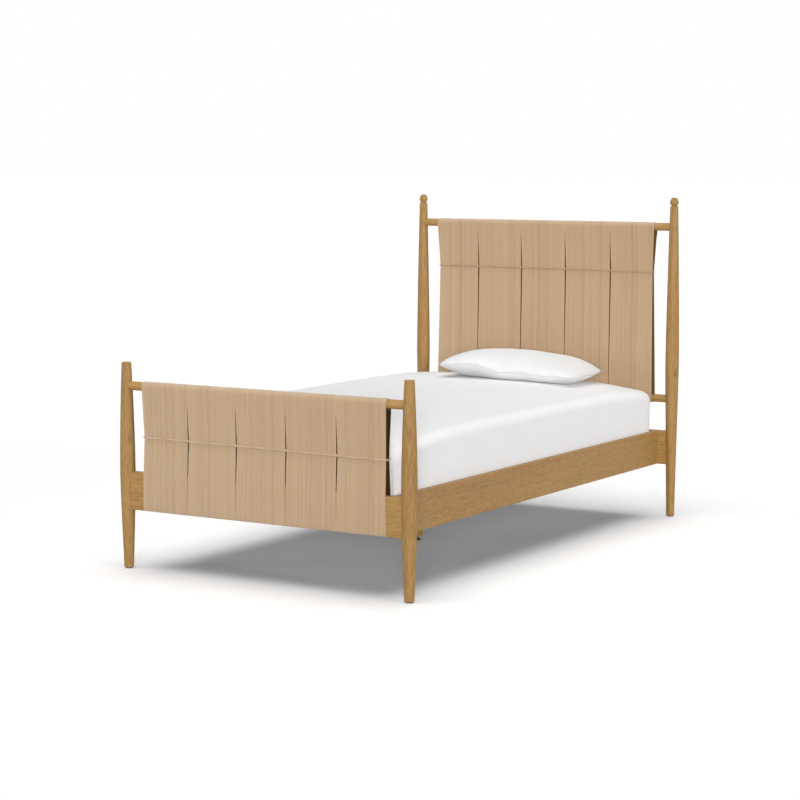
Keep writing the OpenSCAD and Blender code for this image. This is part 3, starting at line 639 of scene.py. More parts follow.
def ring_faces(rows: int, columns: int) -> list[list[int]]:
    """Quads between rings of points, kept ring by ring.

    Args:
        rows: Number of rings.
        columns: Number of points in a ring.

    Returns:
        The faces.
    """
    row, column = np.meshgrid(np.arange(rows - 1), np.arange(columns), indexing="ij")
    after = (column + 1) % columns
    quads = np.stack([row * columns + column, row * columns + after,
                      (row + 1) * columns + after, (row + 1) * columns + column], axis=-1)
    return quads.reshape(-1, 4).tolist()


def tube(centres: np.ndarray, outs: np.ndarray, sides: np.ndarray, half_out: float, half_side: float,
         angles: np.ndarray, tones: np.ndarray) -> Skin:
    """A tube with round or oval sections and closed ends.

    Args:
        centres: Points along the tube's middle.
        outs: Unit vectors at each point, for the section's height.
        sides: Unit vectors at each point, for the section's width.
        half_out: Half of the section's height.
        half_side: Half of the section's width.
        angles: Places round the section, in radians.
        tones: A tone for each point along it.

    Returns:
        The tube's skin, its coordinates being metres along it and turns round it.
    """
    count, around = len(centres), len(angles)
    points = (centres[:, None] + half_out * np.sin(angles)[None, :, None] * outs[:, None]
              + half_side * np.cos(angles)[None, :, None] * sides[:, None]).reshape(-1, 3)
    length = np.concatenate([[0], np.cumsum(np.linalg.norm(np.diff(centres, axis=0), axis=1))])
    faces = ring_faces(count, around)
    row, column = np.meshgrid(np.arange(count - 1), np.arange(around), indexing="ij")
    us = np.stack([length[row], length[row], length[row + 1], length[row + 1]], axis=-1)
    vs = np.stack([column, column + 1, column + 1, column], axis=-1) / around
    uvs = np.stack([us, vs], axis=-1).reshape(-1, 2)
    faces += [list(range(around))[::-1], list(range((count - 1) * around, count * around))]
    uvs = np.concatenate([uvs, np.zeros((2 * around, 2))])
    return Skin(points, faces, uvs, np.repeat(tones, around))


def along_path(path: np.ndarray, up: np.ndarray = UP) -> tuple[np.ndarray, np.ndarray]:
    """Unit vectors square to a path: nearest to up, and square to both.

    Args:
        path: Points along it.
        up: One vector to come near to, or one for each point.

    Returns:
        The two vectors at each point.
    """
    ahead = np.gradient(path, axis=0)
    ahead /= np.linalg.norm(ahead, axis=1)[:, None]
    out = up - (up * ahead).sum(1)[:, None] * ahead
    out /= np.linalg.norm(out, axis=1)[:, None]
    return out, np.cross(ahead, out)


def wavy(values: np.ndarray, seed: float, size: float) -> np.ndarray:
    """Smooth noise from about -1 to 1 along a row of values, size being its wavelength."""
    return np.array([noise.noise(Vector((v / size, seed, 0.37 * seed))) * 1.6 for v in values])


def swells(values: np.ndarray, shapes: tuple[tuple[float, float, float], ...]) -> np.ndarray:
    """The sum of bell-shaped swells, each given by its centre, width and height."""
    return sum(height * np.exp(-((values - centre) / width) ** 2) for centre, width, height in shapes)


# ---- Corded panels ----


@dataclass
class CordPanel:
    """An end panel: paper cord wound round a rail and a board or rail below, drawn in by a tie.

    A station is a place on one turn of the cord: y and z from the post plane, and the share of
    the full draw that the tie has there.
    """

    end: End
    post_y: float
    rail_z: float
    pinch: float
    slit: float
    side_draw: float
    tie_slope: float
    rail_grip: float
    finish: CordFinish
    tie_finish: CordFinish
    tie_drop: float = 0.175
    board_low_z: float = 0.205
    board_top_z: float = 0.336
    board_half_t: float = 0.014
    lower_rail_z: float = 0.462
    rail_r: float = 0.01525
    edge_r: float = 0.003
    cord_t: float = 0.0022
    gap: float = 0.0001
    panel_w: float = 0.975
    slit_pitch: float = 0.1985
    section_count: int = 5
    turn_pitch: float = 0.00325
    station_step: float = 0.034
    low_draw: float = 0.25
    stray: float = 0.00022
    sway_knots: int = 7
    tail: tuple[tuple[float, float], ...] = ((0.0155, 0.034), (0.010, 0.0235), (0.002, 0.019))
    tie_d: float = 0.0055
    tie_step: float = 0.006
    tie_turns: int = 11
    knot_turns: float = 2.6
    knot_stations: int = 42
    lashing_r: float = 0.0012
    bunch: float = 0.03
    angles: tuple[float, ...] = (90, 38, -14, -90, 194, 142)
    # Sides round each ring that take the painted shade.
    painted_shade_sides: tuple[int, ...] = (2, 3)

    @property
    def tie_z(self) -> float:
        """Height of the tie."""
        return self.rail_z - self.tie_drop

    @property
    def tie_y(self) -> float:
        """Distance of the tie's middle from the post plane."""
        return self.pinch / 2 + 0.0003 + self.tie_d / 2

    def edge(self, number: int) -> float:
        """X of the edge before a section, the last being the panel's own.

        Args:
            number: The section's number, from 0 at -X.

        Returns:
            The edge's place.
        """
        if number in (0, self.section_count):
            return self.panel_w / 2 * (-1 if number == 0 else 1)
        return (number - self.section_count / 2) * self.slit_pitch

    def arc(self, y: float, z: float, r: float, turn: Place, draw: float = 0.0) -> Stations:
        """Stations round an arc: y, z and how far the tie draws the cord in there.

        Args:
            y: Y of the arc's middle.
            z: Z of the arc's middle.
            r: Its radius.
            turn: Its first and last angle and the step between stations, in degrees.
            draw: The draw at all its stations.

        Returns:
            The stations.
        """
        first, last, step = turn
        angles = np.radians(np.arange(first, last + step / 2, step))
        return [[y + r * math.cos(a), z + r * math.sin(a), draw] for a in angles]

    def at_tie(self, side: int) -> Stations:
        """Stations where the tie presses one face in, from above it to below it.

        Args:
            side: -1 for the foot's side of the post plane, 1 for the head's.

        Returns:
            The stations.
        """
        y = self.pinch / 2 - self.cord_t / 2
        bends = ((0.007, 0.0007, 0.97), (0.0, 0.0, 1.0), (-0.007, 0.0004, 0.98))
        return [[side * (y + ease), self.tie_z + rise, draw] for rise, ease, draw in bends]

    def held_at_rail(self, keys: Stations) -> Stations:
        """Adds stations below the rail down to where its grip keeps the slits shut.

        Args:
            keys: The turn's stations, from the rail's back over its top.

        Returns:
            The stations with two more, one on each face.
        """
        made = []
        for here, after in zip(keys, keys[1:] + keys[:1]):
            made.append(here)
            if abs(here[1] - after[1]) > self.rail_r * 2 and 0.0 in (here[2], after[2]):
                share = self.rail_grip if here[2] == 0.0 else 1 - self.rail_grip
                made.append([a + (b - a) * share for a, b in zip(here[:2], after[:2])] + [0.0])
        return made

    def round_route(self) -> np.ndarray:
        """One turn of the cord, seen along the rail.

        Returns:
            Stations from the rail's back over its top: y and z from the post plane, and draw.
        """
        middle = self.gap + self.cord_t / 2
        rail = self.rail_r + middle
        keys = self.arc(0, self.rail_z, rail, (0, 180, 15)) + self.at_tie(-1)
        if self.end is End.FOOT:
            face = self.board_half_t + middle
            turn_y = self.board_half_t - self.edge_r
            low_z = self.board_low_z + self.cord_t + self.gap + self.edge_r
            keys += [[-face, self.board_top_z - self.edge_r, 0.6]]
            keys += self.arc(-turn_y, low_z, self.edge_r + middle, (180, 270, 22.5), self.low_draw)
            keys += self.arc(turn_y, low_z, self.edge_r + middle, (270, 360, 22.5), self.low_draw)
            keys += [[face, self.board_top_z - self.edge_r, 0.6]]
        else:
            keys += self.arc(0, self.lower_rail_z, rail, (180, 360, 15), self.low_draw)
        keys = self.held_at_rail(keys + self.at_tie(1)[::-1])
        stations = []
        for here, after in zip(keys, keys[1:] + keys[:1]):
            steps = max(1, round(math.dist(here[:2], after[:2]) / self.station_step))
            stations += [[a + (b - a) * i / steps for a, b in zip(here, after)] for i in range(steps)]
        return np.array(stations)

    def unrolled(self, turns: int) -> np.ndarray:
        """The stations of a section's whole strand, with its ends tucked under the rail.

        Args:
            turns: How often the strand goes round.

        Returns:
            Six rows: y, z, draw, turns wound so far, the share of its own turn that lies
            behind a station, and the number of that turn.
        """
        route = self.round_route()
        step = np.linalg.norm(np.diff(route[:, :2], axis=0, append=route[:1, :2]), axis=1)
        way = np.concatenate([[0], np.cumsum(step)[:-1]]) / step.sum()
        lowest = way[int(np.argmin(route[:, 1]))]
        share = np.clip((way - lowest) / (1 - lowest), 0, 1)
        turn = np.repeat(np.arange(turns), len(route))
        wound = [np.tile(route, (turns, 1)), turn + np.tile(share, turns), np.tile(way, turns), turn]
        rail = self.rail_r + self.gap + self.cord_t / 2
        first = [place + [0, 0, 0] for place in self.arc(0, self.rail_z, rail, (-80, -20, 20))]
        last = [[y, self.rail_z - drop, 0, turns - 1, 1, turns - 1] for y, drop in self.tail]
        return np.concatenate([first, np.column_stack(wound), last]).T

    def strand_tones(self, random: np.random.Generator, turns: int) -> np.ndarray:
        """A tone for each turn: its own, a little of its neighbours', and a few dark ones.

        Args:
            random: The section's random numbers.
            turns: The number of turns.

        Returns:
            The tones.
        """
        own = random.normal(0, 1, turns)
        group = np.convolve(random.normal(0, 1, turns + 2), np.ones(3) / 1.7, "valid")
        tones = 0.5 + 0.055 * own + 0.016 * group - 0.12 * (random.uniform(0, 1, turns) < 0.05)
        tones[[0, -1]] += 0.05
        return np.clip(tones, 0.1, 0.9)

    def winding(self, number: int) -> Skin:
        """The cord of one section, wound as one long strand.

        Args:
            number: The section's number, from 0 at -X.

        Returns:
            The strand's skin.
        """
        random = np.random.default_rng(100 + 10 * self.end.value + number)
        low_x, high_x = self.edge(number), self.edge(number + 1)
        left = self.side_draw if number == 0 else self.slit / 2
        right = self.side_draw if number == self.section_count - 1 else self.slit / 2
        turns = round((high_x - low_x) / self.turn_pitch)
        half_side = (high_x - low_x) / turns / 2
        y, z, draw, advance, within, turn = self.unrolled(turns)
        turn = turn.astype(int)
        base = low_x + half_side + (high_x - low_x - 2 * half_side) * np.minimum(advance / (turns - 1), 1)
        x = base + left * draw * np.exp((low_x - base) / self.bunch)
        x -= right * draw * np.exp((base - high_x) / self.bunch)
        wander = np.array([random.uniform(-1, 1, self.sway_knots) for _ in range(turns + 1)])
        knots = np.linspace(0, 1, self.sway_knots)
        sway = np.array([np.interp(w, knots, wander[t]) for w, t in zip(within, turn)])
        hang = np.sin(within * math.pi) ** 2
        x += self.stray * sway * np.minimum(1, hang + 0.15)
        centres = np.stack([x, y, z], axis=1)
        tangent = np.gradient(centres, axis=0)
        outs = np.stack([np.zeros(len(x)), tangent[:, 2], -tangent[:, 1]], axis=1)
        outs /= np.maximum(1e-9, np.linalg.norm(outs, axis=1))[:, None]
        lift = random.uniform(0, self.stray, turns)[turn]
        centres += outs * (lift * (0.35 + 0.65 * hang))[:, None]
        centres[:, 1] += self.post_y
        tones = self.strand_tones(random, turns)
        sides = np.tile([1.0, 0.0, 0.0], (len(x), 1))
        sections = np.radians(self.angles)
        return tube(centres, outs, sides, self.cord_t / 2, half_side * 1.05, sections, tones[turn])

    def tie_sag(self, x: np.ndarray) -> np.ndarray:
        """How far the tie lies over its height at places across the bed, lower to the right."""
        share = x / (self.panel_w / 2)
        return -self.tie_slope * (share + 0.35 * share ** 3)

    def tie_path(self) -> np.ndarray:
        """The tie's middle, once round the panel and back to its start.

        Returns:
            The points.
        """
        bend_r = self.tie_d / 2 + 0.001
        end_x = self.panel_w / 2 - self.side_draw + 0.0004 + self.tie_d / 2
        loop = []
        for sx, sy, first in ((1, 1, 0), (-1, 1, 90), (-1, -1, 180), (1, -1, 270)):
            middle_x, middle_y = sx * (end_x - bend_r), sy * (self.tie_y - bend_r)
            loop += [place[:2] for place in self.arc(middle_x, middle_y, bend_r, (first, first + 90, 15))]
        dense = []
        for here, after in zip(loop, loop[1:] + loop[:1]):
            steps = max(1, round(math.dist(here, after) / self.tie_step))
            dense += [[a + (b - a) * i / steps for a, b in zip(here, after)] for i in range(steps)]
        dense.append(dense[0])
        path = np.array([[x, y + self.post_y, self.tie_z] for x, y in dense])
        path[:, 2] += self.tie_sag(path[:, 0]) + 0.0006 * wavy(path[:, 0], 3.1 + self.end.value, 0.12)
        return path

    def tie_runs(self) -> list[Skin]:
        """The tie: two thin cords lying round the panel side by side, slowly twisted.

        Returns:
            Their skins.
        """
        path = self.tie_path()
        outs, sides = along_path(path)
        length = np.concatenate([[0], np.cumsum(np.linalg.norm(np.diff(path, axis=0), axis=1))])
        twist = length / length[-1] * math.tau * self.tie_turns + 0.9
        thin_r = self.tie_d * 0.29
        runs = []
        for phase in (0.0, math.pi):
            turn = (twist + phase)[:, None]
            offset = 0.24 * self.tie_d * (np.cos(turn) * outs * 1.25 + np.sin(turn) * sides)
            tones = 0.64 + 0.06 * wavy(length, 9.3 + phase, 0.05)
            runs.append(tube(path + offset, outs, sides, thin_r, thin_r, EIGHT_SIDES, tones))
        return runs

    def knot(self, x: float, z: float, side: int) -> Skin:
        """A small wrapped knot on the tie at a slit, on one face.

        Args:
            x: The slit's place.
            z: The tie's height there.
            side: Which face, -1 or 1.

        Returns:
            The knot's skin.
        """
        coil_r, thin_r = self.tie_d * 0.5 + 0.0008, self.lashing_r
        a = np.linspace(0, math.tau * self.knot_turns, self.knot_stations)
        slide = np.linspace(-0.0021, 0.0021, self.knot_stations)
        y = self.post_y + side * self.tie_y + coil_r * np.cos(a)
        path = np.stack([x + slide, y, z + coil_r * np.sin(a)], axis=1)
        outs, sides = along_path(path, np.stack([0 * a, np.cos(a), np.sin(a)], axis=1))
        return tube(path, outs, sides, thin_r, thin_r * 1.15, SIX_SIDES, np.full(len(a), 0.62))

    def lashings(self) -> list[Skin]:
        """The knots on the tie at each slit, and the cords that join them through it.

        Returns:
            Their skins.
        """
        skins = []
        for number in range(1, self.section_count):
            x = self.edge(number)
            tie_z = self.tie_z + float(self.tie_sag(x))
            skins += [self.knot(x, tie_z, side) for side in (-1, 1)]
            for z in (-0.001, 0.001):
                y = np.linspace(-self.tie_y, self.tie_y, 9)
                sway = 0.0004 * np.sin(y * 300 + z * 2000)
                path = np.stack([x + sway, self.post_y + y, 0 * y + tie_z + z], axis=1)
                thin_r, tones = self.lashing_r, np.full(len(y), 0.5)
                skins.append(tube(path, *along_path(path), thin_r, thin_r, SIX_SIDES, tones))
        return skins

    def build(self) -> None:
        """Makes the sections and the tie, in place of their CAD solids."""
        name = self.end.name.lower()
        # inner is the painted-shade material for the cord's inner faces.
        material, inner = self.finish.material(), self.finish.painted_shade_material()
        for number in range(self.section_count):
            piece = self.winding(number).piece(f"{name}_wound_cord_{number + 1}", "strand", material)
            piece.data.materials.append(inner)
            side = np.arange(len(piece.data.polygons)) % len(self.angles)
            # The inner faces of each ring take the painted shade.
            painted_shade = np.isin(side, self.painted_shade_sides).astype(np.int32)
            piece.data.polygons.foreach_set("material_index", painted_shade)
            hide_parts(f"{name}_cord_section_{number + 1}")
            hand_over(piece, "frame")
        skin = Skin.joined(self.tie_runs() + self.lashings())
        tie = skin.piece(f"{name}_twisted_tie", "strand", self.tie_finish.material())
        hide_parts(f"{name}_tie_cord")
        hand_over(tie, "frame")


# ---- Mattress and fitted sheet ----


@dataclass
class Mattress:
    """The foam mattress in its ticking, crowned and rounded as the CAD solid is."""

    finish: TickingFinish
    width: float = 0.984
    length: float = 1.905
    thickness: float = 0.258
    low_z: float = 0.2901
    side_fall: float = 0.038
    left_fall: float = 0.008
    foot_fall: float = 0.040
    head_fall: float = 0.026
    edge_r: float = 0.034
    low_edge_r: float = 0.018
    corner_r: float = 0.024
    corner_steps: int = 5
    short_steps: int = 62
    long_steps: int = 122
    side_steps: int = 14
    wrap_step: float = 0.012
    wrap: float = 0.1
    inset: float = 0.0012

    @property
    def patch_steps(self) -> tuple[int, int]:
        """Steps of the grid across and along the top and the underside."""
        return self.short_steps + 2 * self.corner_steps, self.long_steps + 2 * self.corner_steps

    def top(self, x: np.ndarray, y: np.ndarray) -> np.ndarray:
        """Height of the crowned top over points seen from above.

        Args:
            x: Their x.
            y: Their y.

        Returns:
            The heights.
        """
        u = np.minimum(1, np.abs(2 * x / self.width))
        v = np.minimum(1, np.abs(2 * y / self.length))
        side_fall = np.where(np.asarray(x) < 0, self.left_fall, self.side_fall)
        end_fall = np.where(np.asarray(y) < 0, self.foot_fall, self.head_fall)
        return self.low_z + self.thickness - side_fall * u ** 2.2 - end_fall * v ** 4.4

    def outline(self, inset: float) -> np.ndarray:
        """Points round the mattress seen from above, from the middle of the corner at -X -Y.

        Args:
            inset: Distance in from the mattress's widest outline.

        Returns:
            The points, anticlockwise, as many for each inset.
        """
        half_x, half_y = self.width / 2 - inset, self.length / 2 - inset
        r = max(0.012, self.corner_r - inset)
        points = []
        corners = ((-1, -1, 225), (1, -1, 315), (1, 1, 45), (-1, 1, 135))
        for number, (sx, sy, middle) in enumerate(corners):
            nx, ny, _ = corners[(number + 1) % 4]
            centre = np.array([sx * (half_x - r), sy * (half_y - r)])
            after = np.array([nx * (half_x - r), ny * (half_y - r)])
            first = np.radians(np.linspace(middle, middle + 45, self.corner_steps + 1))
            last = np.radians(np.linspace(middle + 45, middle + 90, self.corner_steps + 1))
            arc = centre + r * np.stack([np.cos(first), np.sin(first)], axis=1)
            next_arc = after + r * np.stack([np.cos(last), np.sin(last)], axis=1)
            steps = self.short_steps if number % 2 == 0 else self.long_steps
            share = np.linspace(0, 1, steps + 1)[1:-1, None]
            points += [arc, arc[-1] + (next_arc[0] - arc[-1]) * share, next_arc[:-1]]
        return np.concatenate(points)

    def rings(self, wrap: float) -> list[tuple[float, float, bool]]:
        """Rings from the underside to the top's edge.

        Args:
            wrap: How far the skin reaches in under the mattress.

        Returns:
            For each ring its inset, its rise over the underside or drop under the top, and
            whether it follows the top.
        """
        low, r = self.low_edge_r, self.edge_r
        under = np.linspace(0, 0.99, max(2, round(wrap / self.wrap_step)))
        low_turn, high_turn = np.radians(np.arange(0, 91, 15)), np.radians(np.arange(0, 91, 9))
        side = self.thickness - self.side_fall - r - low
        made = [(low + wrap * (1 - share), 0.0, False) for share in under]
        made += [(low * (1 - math.sin(a)), low * (1 - math.cos(a)), False) for a in low_turn]
        made += [(0.0, low + side * share, False) for share in np.linspace(0, 1, self.side_steps + 1)[1:-1]]
        made += [(r * (1 - math.cos(a)), r * (1 - math.sin(a)), True) for a in high_turn]
        return made

    def ring_points(self, ring: tuple[float, float, bool], inset: float) -> np.ndarray:
        """Points of one ring, moved in from the mattress's skin by inset.

        Args:
            ring: The ring, as rings gives it.
            inset: How far it is moved in.

        Returns:
            The points.
        """
        flat = self.outline(ring[0] + inset)
        top = self.top(flat[:, 0], flat[:, 1])
        if ring[2]:
            z = top - ring[1] - inset
        else:
            side_top = top - self.edge_r
            low = self.low_z + inset
            full = self.thickness - self.side_fall - self.edge_r
            z = low + ring[1] * (side_top - inset - low) / full
        return np.column_stack([flat, z])

    def patch(self, outline: np.ndarray) -> np.ndarray:
        """Points of a smooth grid within an outline.

        Args:
            outline: The ring of points round it.

        Returns:
            The grid seen from above, its rows running from -Y to +Y.
        """
        across, along = self.patch_steps
        low = outline[: across + 1]
        right = outline[across: across + along + 1]
        high = outline[across + along: 2 * across + along + 1][::-1]
        left = np.concatenate([outline[2 * across + along:], outline[:1]])[::-1]
        u = ((low[:, 0] - low[0, 0]) / (low[-1, 0] - low[0, 0]))[None, :, None]
        v = ((left[:, 1] - left[0, 1]) / (left[-1, 1] - left[0, 1]))[:, None, None]
        rows = (1 - v) * low[None] + v * high[None]
        columns = (1 - u) * left[:, None] + u * right[:, None]
        corners = (1 - u) * (1 - v) * low[0] + u * (1 - v) * low[-1]
        corners = corners + (1 - u) * v * high[0] + u * v * high[-1]
        return rows + columns - corners

    def shell(self, inset: float, wrap: float, closed: bool) -> Skin:
        """The skin round the mattress, with its coordinates as on the flat cloth.

        Args:
            inset: Distance in from the CAD solid's skin.
            wrap: How far it reaches in under the mattress.
            closed: Whether the underside is closed.

        Returns:
            The skin.
        """
        rings = self.rings(wrap)
        rows = [self.ring_points(ring, inset) for ring in rings]
        count = len(rows[0])
        points = np.concatenate(rows)
        faces = ring_faces(len(rows), count)
        across, along = self.patch_steps
        for ring, turned in ((len(rows) - 1, False), (0, True))[:2 if closed else 1]:
            edge = rows[ring]
            grid = self.patch(edge[:, :2])
            inner = grid[1:-1, 1:-1].reshape(-1, 2)
            start = len(points)
            z = np.full(len(inner), edge[0, 2]) if turned else self.top(inner[:, 0], inner[:, 1]) - inset
            points = np.concatenate([points, np.column_stack([inner, z])])
            index = np.zeros((along + 1, across + 1), int)
            index[1:-1, 1:-1] = start + np.arange(len(inner)).reshape(along - 1, across - 1)
            loop = ring * count + np.arange(count)
            index[0] = loop[: across + 1]
            index[:, -1] = loop[across: across + along + 1]
            index[-1] = loop[across + along: 2 * across + along + 1][::-1]
            index[:, 0] = np.concatenate([loop[2 * across + along:], loop[:1]])[::-1]
            quads = np.stack([index[:-1, :-1], index[:-1, 1:], index[1:, 1:], index[1:, :-1]], axis=-1)
            faces += quads.reshape(-1, 4)[:, ::-1 if turned else 1].tolist()
        reach = points[:, :2]
        drop = (self.low_z + self.thickness - points[:, 2])[:, None]
        far = np.clip(np.abs(reach) / np.array([self.width / 2, self.length / 2]), 0, 1) ** 12
        cloth = reach + np.sign(reach) * far * drop
        return Skin(points, faces, cloth[[i for face in faces for i in face]])

    def build(self) -> bpy.types.Object:
        """Makes the mattress in place of its CAD solid.

        Returns:
            The mattress's piece.
        """
        skin = self.shell(self.inset, self.wrap, True)
        piece = skin.piece("mattress_in_ticking", "cloth", self.finish.material())
        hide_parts("mattress")
        hand_over(piece, "mattress")
        return piece


@dataclass
class FittedSheet:
    """The stretched cotton sheet over the mattress, with gathered corners and an elastic hem."""

    mattress: Mattress
    finish: CottonFinish
    wrap: float = 0.085
    cloth_t: float = 0.0004
    hem_r: float = 0.0022
    gathered: float = 0.015
    broad_wave: float = 0.0011
    small_wave: float = 0.0005
    side_wave: float = 0.0009
    top_pull: float = 0.0012
    side_pull: float = 0.0013
    top_reach: float = 0.16
    side_reach: float = 0.11

    def stretched(self, points: np.ndarray) -> np.ndarray:
        """Moves the sheet's points a little, as pulled cloth lies.

        Args:
            points: The sheet's points on the mattress's skin.

        Returns:
            The moved points.
        """
        moved = points.copy()
        half_x, half_y = self.mattress.width / 2, self.mattress.length / 2
        for number, (x, y, z) in enumerate(points):
            side = self.mattress.top(np.array(x), np.array(y)) - self.mattress.edge_r
            to_corner = math.hypot(half_x - abs(x), half_y - abs(y))
            if z > side:
                lift = self.broad_wave * noise.noise(Vector((x * 5.0, y * 3.4, 1.7)))
                lift += self.small_wave * noise.noise(Vector((x * 16.0 + y * 6, y * 9.0, 4.1)))
                pull = math.exp(-to_corner / self.top_reach)
                fan = math.atan2(half_y - abs(y) + 0.01, half_x - abs(x) + 0.01)
                lift += self.top_pull * pull * math.sin(fan * 26 + 2.0 * math.copysign(1, x * y))
                moved[number, 2] += lift
            elif z > self.mattress.low_z + 0.004:
                along = y if abs(x) / half_x > abs(y) / half_y else x
                pull = math.exp(-to_corner / self.side_reach)
                ripple = self.side_wave * noise.noise(Vector((along * 9.0, z * 3.0, 7.7)))
                ripple += self.side_pull * pull * math.sin(along * 250 + z * 9.0)
                push = Vector((x / half_x, y / half_y, 0))
                push = Vector((math.copysign(abs(push.x) ** 14, x), math.copysign(abs(push.y) ** 14, y), 0))
                if push.length > 1e-6:
                    push.normalize()
                moved[number, :2] += np.array([push.x, push.y]) * (ripple - 0.0002)
        return moved

    def build(self, under: bpy.types.Object) -> bpy.types.Object:
        """Makes the sheet and its hem over the mattress.

        Args:
            under: The mattress's piece; not used.

        Returns:
            The sheet's piece.
        """
        skin = self.mattress.shell(0.0, self.wrap, False)
        skin.points = self.stretched(skin.points)
        material = self.finish.material()
        piece = skin.piece("fitted_sheet", "cloth", material)
        solid = piece.modifiers.new("thickness", "SOLIDIFY")
        solid.thickness = self.cloth_t
        solid.offset = -1.0
        edge = self.mattress.ring_points(self.mattress.rings(self.wrap)[0], 0.0)
        hem_path = np.concatenate([edge, edge[:1]])
        hem_path[:, 2] += self.hem_r * 0.75 + 0.0002 * np.sin(np.arange(len(hem_path)) * 2.1)
        outs, sides = along_path(hem_path)
        tones = np.full(len(hem_path), 0.5)
        hem = tube(hem_path, outs, sides, self.hem_r * 0.6, self.hem_r, EIGHT_SIDES, tones)
        hem = hem.piece("sheet_elastic_hem", "cloth", material)
        for made in (piece, hem):
            hand_over(made, "mattress")
        return piece


# ---- Pillow ----


@dataclass
class Pillow:
    """The pillow in its case: filled as cloth from its flat cut, then laid on the mattress."""

    mattress: Mattress
    finish: CottonFinish
    # A greyer cotton for the seam: painted shade along the seam line.
    seam_painted_shade_finish: CottonFinish
    cut_l: float = 0.590
    cut_d: float = 0.374
    corner_cut: float = 0.035
    volume: float = 0.0154
    start_rise: float = 0.064
    start_scale: float = 0.955
    unevenness: float = 0.12
    upper_scale: float = 1.19
    seam_h: float = 0.039
    seam_fall: float = 0.025
    corner_lift: float = 0.017
    seam_r: float = 0.0011
    seam_lip: float = 0.006
    from_head: float = 0.245
    centre_x: float = 0.040
    turn: float = 8.0
    clearance: float = 0.0008
    flattening: float = 0.003
    pucker: float = 0.0010
    dent: float = 0.0045
    front_swells: tuple[Place, ...] = ((-0.5, 0.30, 0.018), (0.3, 0.35, 0.009))
    right_swells: tuple[Place, ...] = ((-0.15, 0.45, 0.013), (1.0, 0.35, -0.012))
    top_swells: tuple[Place, ...] = ((0.65, 0.35, 0.04), (-0.35, 0.22, -0.09))
    columns: int = 97
    rows: int = 63
    pressure: float = 200.0
    frames: int = 30

    def case(self) -> tuple[np.ndarray, np.ndarray, list[list[int]]]:
        """The case's two panels, sewn together round their rim and a little filled.

        Returns:
            Their points, the same points on the flat cut, and the faces.
        """
        columns, rows = self.columns, self.rows
        points, cut, number = [], [], {}
        for side in (1, -1):
            for r in range(rows):
                for c in range(columns):
                    i, j = 2 * c / (columns - 1) - 1, 2 * r / (rows - 1) - 1
                    rim = c in (0, columns - 1) or r in (0, rows - 1)
                    if rim and side < 0:
                        number[side, r, c] = number[1, r, c]
                        continue
                    number[side, r, c] = len(points)
                    drawn = 1 - self.corner_cut * abs(i * j) ** 5
                    x, y = i * self.cut_l / 2 * drawn, j * self.cut_d / 2 * drawn
                    cut.append((x, y, 0.0 if rim else side * 0.0005))
                    dome = max(0.0, (1 - abs(i) ** 2.2) * (1 - abs(j) ** 2.2)) ** 0.6
                    uneven = 1 + self.unevenness * noise.noise(Vector((x * 8, y * 10, 5.3 * side)))
                    rise = 0.0 if rim else side * (self.start_rise * dome * uneven + 0.0003)
                    points.append((x * self.start_scale, y * self.start_scale, rise))
        faces = []
        for side in (1, -1):
            for r in range(rows - 1):
                for c in range(columns - 1):
                    quad = [number[side, r, c], number[side, r, c + 1],
                            number[side, r + 1, c + 1], number[side, r + 1, c]]
                    faces.append(quad if side > 0 else quad[::-1])
        return np.array(points), np.array(cut), faces

    def filled(self, piece: bpy.types.Object, cut: np.ndarray) -> None:
        """Fills the case as cloth until it holds its volume, so that it creases along its seam.

        Args:
            piece: The case, which is left with the settled points.
            cut: The points on the flat cut.
        """
        scene, mesh = bpy.context.scene, piece.data
        piece.shape_key_add(name="Basis")
        flat = piece.shape_key_add(name="flat_cut")
        flat.data.foreach_set("co", cut.astype(np.float32).ravel())
        cloth = piece.modifiers.new("filling", "CLOTH")
        settings = cloth.settings
        settings.quality = 6
        settings.mass = 0.1
        settings.air_damping = 3
        settings.tension_stiffness = settings.compression_stiffness = 40
        settings.shear_stiffness = 2
        settings.bending_stiffness = 0.05
        settings.use_pressure = settings.use_pressure_volume = True
        settings.uniform_pressure_force = 0
        settings.target_volume = self.volume
        settings.pressure_factor = self.pressure
        settings.effector_weights.gravity = 0
        settings.rest_shape_key = flat
        cloth.point_cache.frame_start, cloth.point_cache.frame_end = 1, self.frames
        for number in range(1, self.frames + 1):
            scene.frame_set(number)
        settled = piece.evaluated_get(bpy.context.evaluated_depsgraph_get()).to_mesh()
        points = np.empty(len(mesh.vertices) * 3, np.float32)
        settled.vertices.foreach_get("co", points)
        piece.modifiers.remove(cloth)
        piece.shape_key_clear()
        scene.frame_set(1)
        mesh.vertices.foreach_set("co", points)

    def seam_height(self, x: np.ndarray, u: np.ndarray, v: np.ndarray, from_rim: np.ndarray) -> np.ndarray:
        """Height of the seam's plane over the mattress, as the photograph's seam runs.

        Args:
            x: Place along the pillow, in metres.
            u: The same as a share of its half length.
            v: Place across the pillow as a share of its half depth.
            from_rim: Distance from the rim on the flat cut.

        Returns:
            The height at each place.
        """
        to_right = np.clip(0.5 + u / 2, 0, 1)
        to_front = np.clip(0.5 - v / 2, 0, 1)
        height = self.seam_h - self.seam_fall * to_front * (3 * to_right ** 2 - 2 * to_right ** 3)
        height += self.corner_lift * (1 + 0.4 * u) * np.abs(u * v) ** 1.5
        height += to_front ** 3 * swells(u, self.front_swells)
        height += np.clip(u, 0, 1) ** 4 * swells(v, self.right_swells)
        return height + (0.0028 * np.sin(x * 40 - 1.0) + 0.001 * np.sin(x * 96)) * np.exp(-from_rim / 0.03)

